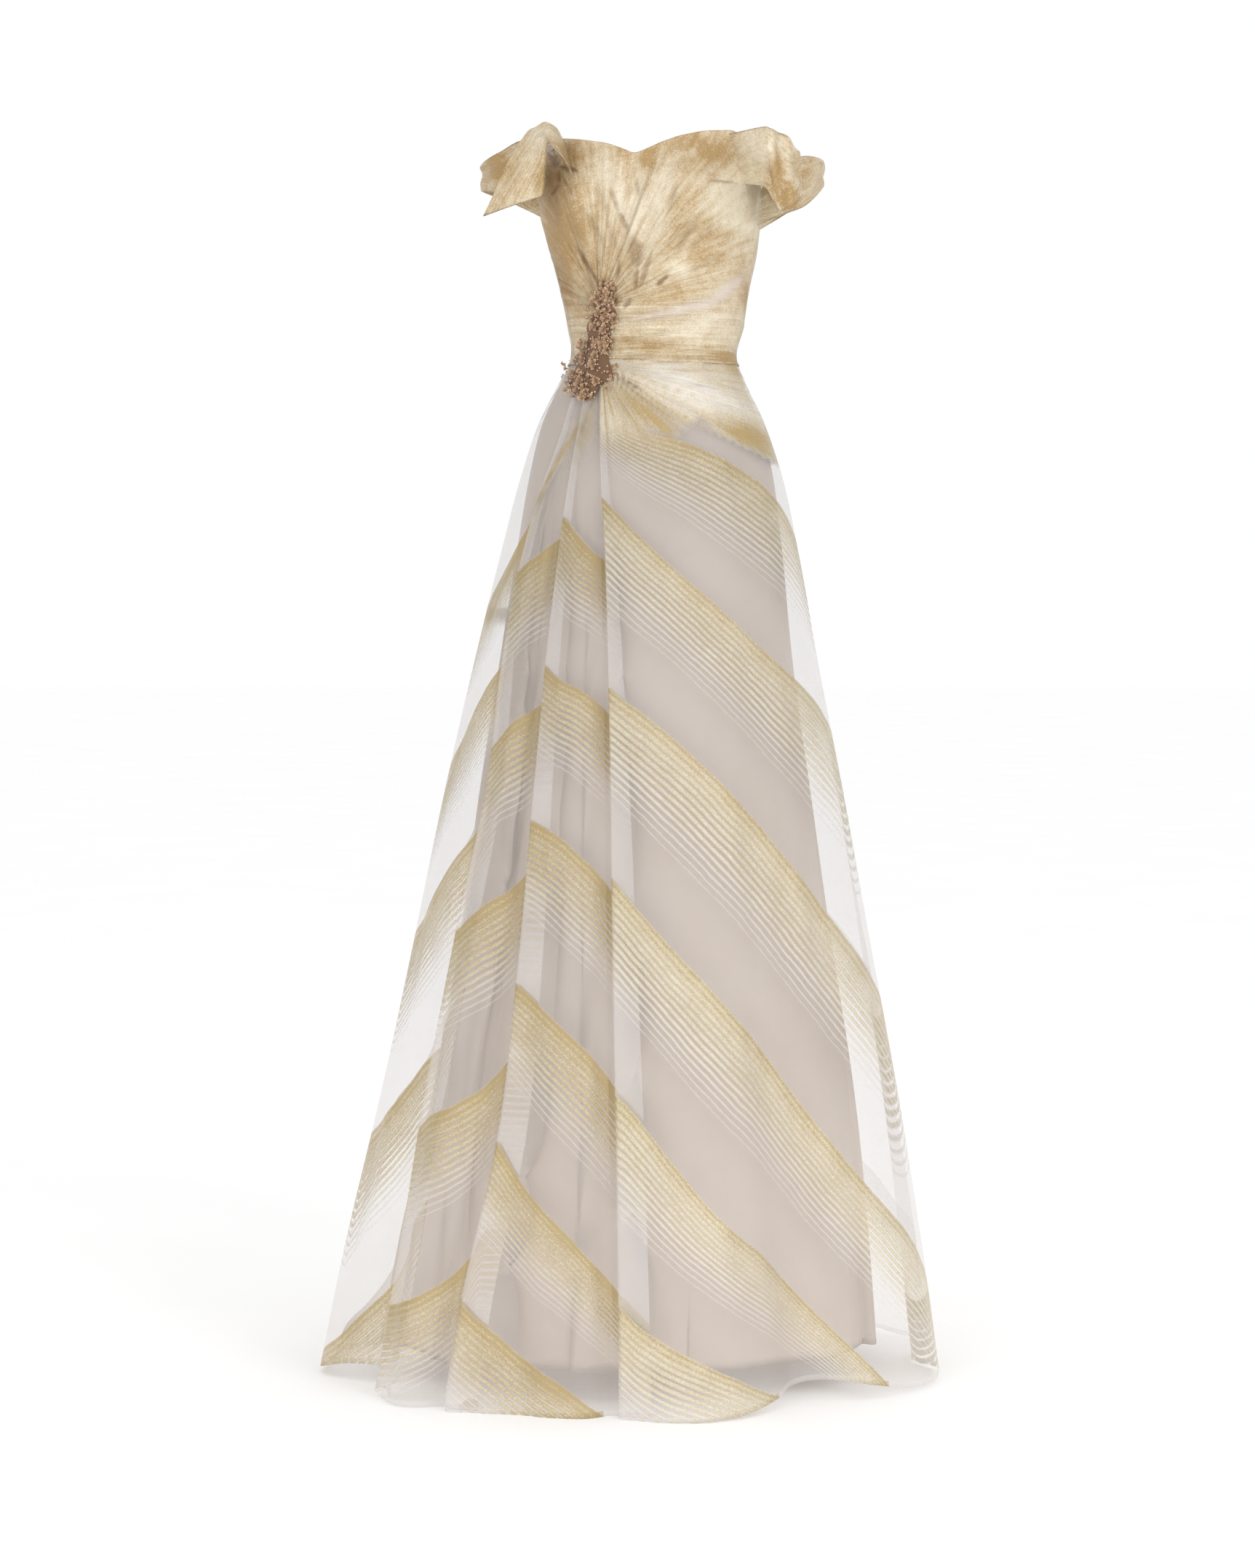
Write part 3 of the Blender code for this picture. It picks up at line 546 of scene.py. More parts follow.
def noiseValue(nodes, links, scale, detail, vector, low=0.32, high=0.68):
    # noise, stretched to run from 0 to 1
    node = nodes.new("ShaderNodeTexNoise")
    for key, value in (("Scale", scale), ("Detail", detail), ("Roughness", 0.6), ("Vector", vector)):
        join(links, value, node.inputs[key])
    return rangeNode(nodes, links, node.outputs[0], low, high)


def bumpFrom(nodes, links, height, strength, distance, shader):
    bump = nodes.new("ShaderNodeBump")
    for key, value in (("Strength", strength), ("Distance", distance), ("Height", height)):
        join(links, value, bump.inputs[key])
    links.new(bump.outputs[0], shader.inputs["Normal"])


def lowGlow(nodes, links, colour, place, top, bottom, shader):
    # painted glow: emission in the surface's own colour, stronger towards the hem, that brightens the lower cloth
    split = nodes.new("ShaderNodeSeparateXYZ")
    links.new(place, split.inputs[0])
    share = rangeNode(nodes, links, split.outputs[2], -0.25, -1.40, top, bottom)
    links.new(mixColour(nodes, links, share, (0.0, 0.0, 0.0), colour), shader.inputs["Emission Color"])
    shader.inputs["Emission Strength"].default_value = 1.0


def fanStreaks(nodes, links, fine, along):
    # noise that is drawn out along the gathers: fine across the fan coordinate, slow with the distance
    combine = nodes.new("ShaderNodeCombineXYZ")
    links.new(mathNode(nodes, links, "MULTIPLY", attribute(nodes, "fan"), fine), combine.inputs[0])
    links.new(mathNode(nodes, links, "MULTIPLY", attribute(nodes, "away"), along), combine.inputs[1])
    return noiseValue(nodes, links, 1.0, 4.0, combine.outputs[0])


# Striped organza: a sheer ground crossed by bands of metallic thread that thin out into pin lines
organza = {
    "ground": (0.57, 0.54, 0.53),
    "groundCover": 0.25,
    "goldLight": (0.53, 0.48, 0.37),
    "goldDark": (0.315, 0.235, 0.105),
    "goldCover": 0.86,
    "veilLight": (0.67, 0.62, 0.54),
    "veilDark": (0.37, 0.265, 0.11),
    "pinLines": 13.0,
    "roughness": 0.5,
    "goldRoughness": 0.38,
    "metal": 0.22,
}


def organzaMaterial(name, look):
    # "band" counts bands down the cloth and its fraction is the place in one repeat; "reach" is the band's share of it.
    # Each pin line covers the part of its pitch that its duty gives, and the duty thins from the sharp edge downwards
    material, nodes, links, shader = newMaterial(name)
    place = objectPlace(nodes)

    def m(operation, *values):
        return mathNode(nodes, links, operation, *values)

    def r(*values):
        return rangeNode(nodes, links, *values)

    wobble = noiseValue(nodes, links, 18.0, 2.0, place, 0.0, 1.0)
    inBand = m("DIVIDE", m("FRACT", m("MULTIPLY_ADD", wobble, 0.03, attribute(nodes, "band"))), attribute(nodes, "reach"))
    duty = m("ADD", r(inBand, 0.10, 1.0, 0.98, 0.22), r(inBand, 0.02, 0.20, 0.30, 0.0))
    pitch = m("MULTIPLY", m("PINGPONG", m("MULTIPLY", inBand, look["pinLines"]), 0.5), 2.0)
    grain = noiseValue(nodes, links, 520.0, 3.0, place, 0.30, 0.70)
    clouds = noiseValue(nodes, links, 24.0, 3.0, place, 0.30, 0.70)
    ragged = m("MULTIPLY_ADD", grain, 0.30, -0.15)
    thread = r(m("ADD", m("SUBTRACT", duty, pitch), ragged), -0.20, 0.20)
    gold = m("MULTIPLY", thread, m("MULTIPLY", r(inBand, 1.0, 1.03, 1.0, 0.0), r(inBand, 0.0, 0.012)))
    gold = m("MULTIPLY", gold, r(inBand, 0.60, 1.0, 1.0, 0.45))
    gold = m("MULTIPLY", gold, m("SUBTRACT", 1.0, attribute(nodes, "fade")))
    gold = m("MAXIMUM", gold, m("MULTIPLY", attribute(nodes, "patch"), r(grain, 0.0, 0.5, 0.75, 1.0)))
    shade = m("MULTIPLY_ADD", grain, 0.66, m("MULTIPLY_ADD", clouds, 0.22, -0.30))
    shade = m("ADD", shade, m("MULTIPLY", pitch, 0.46))
    shade = m("ADD", shade, r(inBand, 0.0, 0.22, 0.26, 0.0))
    shade = m("ADD", shade, r(inBand, 0.45, 0.9, 0.0, -0.30))
    # the tone share darkens the gold: a random tone, and painted shade beside and under the folds and on the panels
    # that face left
    shade = m("ADD", shade, m("MULTIPLY", attribute(nodes, "toneAndShade"), 0.75))
    shade = m("MINIMUM", m("MAXIMUM", shade, 0.0), 1.15)
    goldColour = mixColour(nodes, links, shade, look["goldLight"], look["goldDark"])
    ground = mixColour(nodes, links, m("MULTIPLY", clouds, 0.16), look["ground"], (0.48, 0.41, 0.37))
    colour = mixColour(nodes, links, gold, ground, goldColour)
    streak = fanStreaks(nodes, links, 300.0, 14.0)
    veil = m("MINIMUM", m("MULTIPLY", attribute(nodes, "veil"), r(streak, 0.0, 1.0, 0.75, 1.35)), 1.0)
    veilShade = m("MULTIPLY_ADD", streak, 0.50, m("MULTIPLY_ADD", grain, 0.40, -0.50))
    veilShade = m("MINIMUM", m("MAXIMUM", m("ADD", veilShade, attribute(nodes, "tan")), 0.0), 1.1)
    veilColour = mixColour(nodes, links, veilShade, look["veilLight"], look["veilDark"])
    colour = mixColour(nodes, links, veil, colour, veilColour)
    # painted shade: the deep share darkens creases and fold valleys here and makes them more opaque in the cover below
    colour = mixColour(nodes, links, attribute(nodes, "deep"), colour, (0.13, 0.075, 0.03))
    links.new(colour, shader.inputs["Base Color"])
    lowGlow(nodes, links, colour, place, 0.02, 0.34, shader)
    weave = m("MULTIPLY_ADD", grain, 0.06, look["groundCover"] - 0.03)
    cover = mixValue(nodes, links, gold, weave, look["goldCover"])
    cover = m("MAXIMUM", cover, m("MULTIPLY", veil, 0.93))
    cover = m("MINIMUM", m("ADD", cover, m("MULTIPLY", attribute(nodes, "deep"), 0.6)), 1.0)
    links.new(cover, shader.inputs["Alpha"])
    links.new(mixValue(nodes, links, gold, look["roughness"], look["goldRoughness"]), shader.inputs["Roughness"])
    links.new(m("MULTIPLY", m("MAXIMUM", gold, veil), look["metal"]), shader.inputs["Metallic"])
    shader.inputs["Sheen Weight"].default_value = 0.15
    shader.inputs["Sheen Roughness"].default_value = 0.4
    relief = m("MULTIPLY_ADD", gold, 0.5, m("MULTIPLY_ADD", streak, veil, grain))
    bumpFrom(nodes, links, relief, 0.45, 0.0007, shader)
    return material


# Gold bodice cloth: the same organza, gathered, over its mounting
lame = {
    # the first colour is the cloth's tan, also used for painted shade in the fold valleys
    "tan": (0.370, 0.235, 0.090),
    "bright": (0.68, 0.605, 0.455),
    "pale": (0.62, 0.56, 0.53),
    # the colour of painted shade in creases and valleys
    "deep": (0.17, 0.075, 0.02),
    "roughness": 0.42,
    "metal": 0.22,
}


def lameMaterial(name, look):
    # the tan, pale and deep shares are painted at the points: the deep share is painted shade in creases and fold
    # valleys, and the tan share is the cloth's own tan with painted shade in the valleys and painted light where a
    # shadow is lifted; streaks follow the gathers and a grain sparkles over all
    material, nodes, links, shader = newMaterial(name)
    place = objectPlace(nodes)

    def m(operation, *values):
        return mathNode(nodes, links, operation, *values)

    streak = fanStreaks(nodes, links, 330.0, 18.0)
    grain = noiseValue(nodes, links, 560.0, 4.0, place, 0.30, 0.70)
    blots = noiseValue(nodes, links, 120.0, 3.0, place, 0.30, 0.70)
    clouds = noiseValue(nodes, links, 42.0, 4.0, place, 0.34, 0.66)
    shade = m("MULTIPLY_ADD", streak, 0.46, m("MULTIPLY_ADD", attribute(nodes, "tan"), 0.85, -0.70))
    shade = m("MULTIPLY_ADD", grain, 0.46, shade)
    shade = m("MULTIPLY_ADD", blots, 0.26, shade)
    shade = m("MULTIPLY_ADD", clouds, 0.30, shade)
    shade = m("MINIMUM", m("MAXIMUM", shade, 0.0), 1.1)
    colour = mixColour(nodes, links, shade, look["bright"], look["tan"])
    glint = rangeNode(nodes, links, noiseValue(nodes, links, 900.0, 2.0, place), 0.80, 1.0, 0.0, 0.55)
    colour = mixColour(nodes, links, glint, colour, (0.80, 0.74, 0.62))
    colour = mixColour(nodes, links, attribute(nodes, "pale"), colour, look["pale"])
    colour = mixColour(nodes, links, attribute(nodes, "deep"), colour, look["deep"])
    links.new(colour, shader.inputs["Base Color"])
    shader.inputs["Roughness"].default_value = look["roughness"]
    shader.inputs["Metallic"].default_value = look["metal"]
    shader.inputs["Sheen Weight"].default_value = 0.04
    relief = m("ADD", m("MULTIPLY_ADD", blots, 0.8, grain), m("MULTIPLY", streak, 1.4))
    bumpFrom(nodes, links, relief, 0.6, 0.0009, shader)
    return material


# Satin of the lining and of the bodice's inside
satin = {"colour": (0.385, 0.328, 0.28), "shade": (0.355, 0.295, 0.245), "glow": 0.46, "roughness": 0.55, "weave": 900.0}


def satinMaterial(name, look):
    # a fine twill: waves of x plus height, over slow clouds of colour
    material, nodes, links, shader = newMaterial(name)
    place = objectPlace(nodes)
    clouds = noiseValue(nodes, links, 6.0, 3.0, place, 0.30, 0.70)
    colour = mixColour(nodes, links, clouds, look["colour"], look["shade"])
    links.new(colour, shader.inputs["Base Color"])
    shader.inputs["Roughness"].default_value = look["roughness"]
    shader.inputs["Sheen Weight"].default_value = 0.15
    lowGlow(nodes, links, colour, place, 0.10, look["glow"], shader)
    wave = nodes.new("ShaderNodeTexWave")
    wave.bands_direction = "DIAGONAL"
    wave.inputs["Scale"].default_value = look["weave"]
    links.new(place, wave.inputs["Vector"])
    bumpFrom(nodes, links, wave.outputs["Fac"], 0.12, 0.0002, shader)
    return material


# the dark colour is painted shade at the petals' roots
flowerLook = {"petal": (0.40, 0.235, 0.125), "tip": (0.70, 0.52, 0.35), "dark": (0.11, 0.05, 0.02), "bead": (0.46, 0.30, 0.17)}


def petalMaterial(name, look):
    # painted shade darkens the petal's root, where the petals crowd together, and a painted highlight lightens its tip;
    # "hue" makes one petal paler than another
    material, nodes, links, shader = newMaterial(name)
    place = objectPlace(nodes)
    out = attribute(nodes, "out")
    clouds = noiseValue(nodes, links, 60.0, 3.0, place)
    rooted = mixColour(nodes, links, mathNode(nodes, links, "POWER", out, 0.9), look["dark"], look["petal"])
    tipped = mathNode(nodes, links, "MULTIPLY", mathNode(nodes, links, "POWER", out, 2.0), attribute(nodes, "hue"))
    tipped = mathNode(nodes, links, "MULTIPLY", tipped, rangeNode(nodes, links, clouds, 0.0, 1.0, 0.4, 1.0))
    links.new(mixColour(nodes, links, tipped, rooted, look["tip"]), shader.inputs["Base Color"])
    shader.inputs["Roughness"].default_value = 0.42
    shader.inputs["Metallic"].default_value = 0.15
    shader.inputs["Sheen Weight"].default_value = 0.2
    bumpFrom(nodes, links, noiseValue(nodes, links, 700.0, 2.0, place), 0.4, 0.0004, shader)
    return material


def beadMaterial(name, look):
    material, nodes, links, shader = newMaterial(name)
    clouds = noiseValue(nodes, links, 150.0, 1.0, objectPlace(nodes))
    links.new(mixColour(nodes, links, clouds, look["bead"], look["tip"]), shader.inputs["Base Color"])
    shader.inputs["Roughness"].default_value = 0.2
    shader.inputs["Metallic"].default_value = 0.45
    return material


organzaCloth = organzaMaterial("stripedOrganza", organza)
bodiceCloth = lameMaterial("goldLame", lame)
liningCloth = satinMaterial("satinLining", satin)
petalCloth = petalMaterial("petalSatin", flowerLook)
beadGloss = beadMaterial("bead", flowerLook)
print("materials made")

# Where each band's upper edge lies: heights at angles round the skirt
bandsRight = table(
    "angle b0 b1 b2 b3 b4 b5 b6",
    (-140.0, 1.220, 1.140, 0.950, 0.770, 0.570, 0.420, 0.240),
    (-125.0, 1.190, 1.095, 0.900, 0.710, 0.500, 0.330, 0.150),
    (-110.0, 1.150, 1.056, 0.858, 0.660, 0.432, 0.225, 0.050),
    (-100.0, 1.138, 1.028, 0.828, 0.620, 0.384, 0.160, -0.03),
    (-90.0, 1.130, 0.998, 0.800, 0.566, 0.332, 0.108, -0.09),
    (-75.0, 1.120, 0.956, 0.748, 0.486, 0.226, 0.050, -0.12),
    (-60.0, 1.104, 0.912, 0.684, 0.398, 0.148, -0.01, -0.16),
    (-45.0, 1.084, 0.868, 0.608, 0.298, 0.050, -0.08, -0.20),
    (-30.0, 1.060, 0.832, 0.532, 0.210, -0.04, -0.20, -0.30),
    (-15.0, 1.030, 0.795, 0.470, 0.135, -0.12, -0.30, -0.40),
    (0.0, 1.005, 0.765, 0.425, 0.075, -0.18, -0.38, -0.50),
    (15.0, 1.030, 0.795, 0.470, 0.135, -0.12, -0.30, -0.40),
)
bandsLeft = table(
    "angle b0 b1 b2 b3 b4 b5 b6",
    (-195.0, 1.380, 0.925, 0.690, 0.510, 0.270, 0.005, -0.25),
    (-180.0, 1.370, 0.915, 0.705, 0.520, 0.275, -0.005, -0.26),
    (-172.0, 1.395, 0.930, 0.738, 0.540, 0.295, 0.018, -0.23),
    (-163.0, 1.420, 0.955, 0.775, 0.572, 0.325, 0.050, -0.20),
    (-154.0, 1.440, 0.990, 0.822, 0.618, 0.378, 0.115, -0.15),
    (-146.0, 1.450, 1.045, 0.870, 0.655, 0.415, 0.170, -0.08),
    (-138.0, 1.455, 1.110, 0.930, 0.720, 0.480, 0.230, -0.03),
    (-120.0, 1.460, 1.120, 0.965, 0.760, 0.525, 0.285, 0.04),
    (-90.0, 1.470, 1.130, 0.998, 0.800, 0.566, 0.332, 0.108),
)
bandsChevron = table(
    "angle b0 b1 b2 b3 b4 b5 b6",
    (-150.0, 1.430, 0.955, 0.725, 0.515, 0.285, 0.085, -0.11),
    (-140.0, 1.440, 0.980, 0.762, 0.555, 0.328, 0.108, -0.09),
    (-133.0, 1.440, 0.996, 0.792, 0.580, 0.346, 0.128, -0.07),
    (-127.0, 1.445, 1.008, 0.808, 0.598, 0.368, 0.158, -0.04),
    (-122.0, 1.450, 1.020, 0.822, 0.624, 0.404, 0.205, 0.01),
)
bandsCentre = table(
    "angle b0 b1 b2 b3 b4 b5 b6",
    (-126.0, 1.455, 1.030, 0.865, 0.690, 0.500, 0.320, 0.130),
    (-122.0, 1.450, 1.018, 0.852, 0.678, 0.490, 0.308, 0.108),
    (-117.0, 1.445, 1.002, 0.840, 0.668, 0.474, 0.275, 0.088),
    (-111.0, 1.440, 0.988, 0.830, 0.652, 0.450, 0.240, 0.062),
    (-103.0, 1.430, 0.970, 0.806, 0.618, 0.412, 0.198, 0.034),
    (-96.0, 1.420, 0.950, 0.785, 0.585, 0.370, 0.152, 0.000),
    (-85.0, 1.400, 0.920, 0.750, 0.540, 0.310, 0.090, -0.05),
)


def bandCount(bands, angle, height):
    # at each point: how many of the edges at its angle it lies below, with the share of the next in between
    edges = np.stack([curve(angle, bands["angle"], bands["b%d" % k]) for k in range(7)], -1)
    edges = np.concatenate([edges[..., :1] + 0.34, edges, edges[..., -1:] - 0.2], -1)
    upper, lower = edges[..., :-1], edges[..., 1:]
    share = np.clip((upper - height[..., None]) / (upper - lower), 0.0, 1.0)
    return share.sum(-1)


def skirtRipple(angle, height):
    # soft vertical ripples, stronger towards the hem and a little different at each height
    broad = noise1(angle / 7.0 + 300 + 0.8 * np.sin(height * 4.0), 3)
    narrow = noise1(angle / 2.4 + 600 + 3.0 * height, 5)
    low = ease((0.95 - height) / 0.9)
    return broad * (0.0008 + 0.0040 * low) + narrow * (0.0001 + 0.0004 * low)


def hipPaint(x, height, angle):
    # the last short gold piece at the right hip: above a sharp slanting edge, fading up and inwards
    edge = height - (1.1243 - 0.435 * (x - 0.0961))
    behind = ease((60.0 - turnBetween(angle, 0.0)) / 45.0)
    return ease(edge / 0.003 + 0.5) * ease((x - 0.030) / 0.060) * ease((0.075 - edge) / 0.06) * behind


def thinStripe(angle, height):
    # the narrow stripe at the left hip, sharp above and soft below its measured line
    line = np.interp(angle, [-163.0, -151.0, -144.0, -132.0, -128.0], [0.930, 1.006, 1.058, 1.136, 1.160])
    below = line - height
    return 0.9 * ease(below / 0.002) * ease((0.030 - below) / 0.016)


# Painted shares: where the cloth is tan, pale or deep, as soft patches seen from the front. Deep is painted shade; tan
# is partly the cloth's own tan and partly painted shade, and the negative tan patch below the puff is painted light
# where the puff's shadow falls
patches = table(
    "x height wide tall turn tan pale deep",
    (-0.112, 1.350, 0.018, 0.060, 10.0, 0.75, 0.0, 0.10),
    (-0.118, 1.425, 0.014, 0.030, 0.0, 0.55, 0.0, 0.18),
    (-0.108, 1.330, 0.006, 0.030, 14.0, 0.20, 0.0, 0.16),
    (-0.085, 1.372, 0.022, 0.040, 25.0, 0.40, 0.0, 0.0),
    (-0.095, 1.462, 0.030, 0.016, 0.0, 0.35, 0.0, 0.0),
    (-0.060, 1.455, 0.014, 0.018, 0.0, -0.25, 0.0, 0.0),
    (-0.036, 1.464, 0.016, 0.012, 0.0, 0.35, 0.0, 0.0),
    (-0.005, 1.457, 0.014, 0.014, 0.0, 0.65, 0.0, 0.0),
    (0.030, 1.472, 0.030, 0.012, 10.0, 0.40, 0.0, 0.0),
    (0.074, 1.462, 0.034, 0.022, 10.0, 0.60, 0.0, 0.03),
    (-0.040, 1.405, 0.010, 0.050, 14.0, -0.45, 0.12, 0.0),
    (-0.015, 1.405, 0.008, 0.040, 0.0, -0.35, 0.10, 0.0),
    (0.008, 1.410, 0.010, 0.040, -10.0, -0.45, 0.12, 0.0),
    (0.092, 1.420, 0.036, 0.030, 0.0, -0.55, 0.05, 0.0),
    (0.118, 1.470, 0.022, 0.022, 0.0, -0.55, 0.05, 0.0),
    (-0.028, 1.352, 0.014, 0.040, 5.0, 0.30, 0.0, 0.06),
    (0.040, 1.390, 0.014, 0.050, -30.0, 0.35, 0.0, 0.03),
    (0.066, 1.355, 0.036, 0.030, 0.0, 0.30, 0.0, 0.0),
    (0.018, 1.300, 0.036, 0.014, 12.0, 0.28, 0.0, 0.0),
    (-0.100, 1.400, 0.024, 0.080, 10.0, 0.25, 0.0, 0.04),
    (0.034, 1.326, 0.012, 0.010, -40.0, -0.70, 0.05, 0.0),
    (-0.004, 1.272, 0.028, 0.005, 8.0, 0.0, 0.40, 0.0),
    (0.048, 1.284, 0.036, 0.006, 16.0, 0.0, 0.55, 0.0),
    (0.092, 1.308, 0.030, 0.007, 38.0, 0.0, 0.60, 0.0),
    (0.060, 1.262, 0.050, 0.016, 10.0, -0.40, 0.15, 0.0),
    # painted light: lifts the shadow that the puff casts below it
    (0.112, 1.392, 0.024, 0.034, 0.0, -0.60, 0.0, 0.0),
    (0.150, 1.466, 0.018, 0.018, 0.0, -0.45, 0.0, 0.0),
    (0.000, 1.238, 0.030, 0.010, 0.0, 0.50, 0.0, 0.04),
    (0.092, 1.228, 0.018, 0.007, 0.0, 0.75, 0.0, 0.06),
    (0.116, 1.290, 0.006, 0.050, 8.0, 0.65, 0.0, 0.02),
    (-0.060, 1.290, 0.018, 0.040, 0.0, 0.50, 0.0, 0.22),
    (0.147, 1.443, 0.008, 0.022, 0.0, 1.00, 0.0, 0.10),
    (0.160, 1.412, 0.014, 0.010, -40.0, 1.10, 0.0, 0.16),
    (0.134, 1.424, 0.008, 0.006, -45.0, 0.60, 0.0, 0.30),
    (0.182, 1.440, 0.016, 0.022, 0.0, 0.25, 0.0, 0.0),
    (-0.182, 1.452, 0.020, 0.020, 30.0, 0.75, 0.0, 0.03),
    (-0.150, 1.465, 0.020, 0.024, 40.0, -0.10, 0.0, 0.0),
    (-0.130, 1.480, 0.012, 0.020, 0.0, -0.45, 0.05, 0.0),
    (-0.175, 1.405, 0.030, 0.014, 25.0, 0.10, 0.0, 0.0),
    (-0.010, 1.160, 0.070, 0.016, -34.0, 0.45, 0.0, 0.05),
    (0.055, 1.183, 0.070, 0.014, -24.0, -0.60, 0.0, 0.0),
    (0.125, 1.130, 0.045, 0.016, -28.0, 0.55, 0.0, 0.0),
    (0.110, 1.212, 0.020, 0.010, -20.0, 0.60, 0.0, 0.02),
)


def paintedShares(x, height):
    # each patch is a bell over a turned ellipse; the valleys between the fine folds and the creases get painted shade,
    # as more tan and a deeper share
    c, s = np.cos(np.radians(patches["turn"])), np.sin(np.radians(patches["turn"]))
    dx, dh = x[..., None] - patches["x"], height[..., None] - patches["height"]
    bell = np.exp(-(((dx * c + dh * s) / patches["wide"]) ** 2) - ((-dx * s + dh * c) / patches["tall"]) ** 2)
    shares = {k: (bell * patches[k]).sum(-1) for k in ("tan", "pale", "deep")}
    folds = fineFolds(x, height)
    shares["tan"] = np.clip(0.58 + shares["tan"] - 0.26 * folds, 0.0, 1.2)
    shares["pale"] = np.clip(shares["pale"], 0.0, 0.85)
    valleys = 0.36 * ease((-folds - 0.20) / 0.9)
    shares["deep"] = np.clip(shares["deep"] + valleys + 0.62 * creaseAt(x, height, "dark"), 0.0, 0.82)
    return shares


# Skirt panels
skirt = {"rows": 260, "hemTurn": 0.006, "hidden": 8, "roll": 14}


def foldedEdge(fold, heights):
    # the hidden layer lies on the panel below, then the cloth rolls round half a circle to the face
    air = curve(heights, foldDepth["height"], foldDepth["air"])
    edge = foldAngle(fold, heights)
    metres, tangent = runOf(edge, heights)
    hidden = curve(heights, foldDepth["height"], foldDepth["hidden"]) / metres
    half = body["skirtCloth"] / 2
    columns, angles = [], []
    for share in np.linspace(1.0, 0.0, skirt["hidden"] + 1)[:-1]:
        columns.append(shell(edge + hidden * share, heights, body["seamGap"] + half))
        angles.append(edge + hidden * share)
    middle, radius = body["seamGap"] + 2 * half + air / 2, half + air / 2
    for turn in np.linspace(math.pi, 0.0, skirt["roll"] + 1):
        rolled = shell(edge, heights, middle + radius * math.cos(turn))
        columns.append(rolled - tangent * (radius * math.sin(turn))[..., None])
        angles.append(edge - radius * math.sin(turn) / metres)
    return columns, angles


def stackHeight(height):
    return 2 * body["skirtCloth"] + curve(height, foldDepth["height"], foldDepth["air"]) + body["seamGap"]


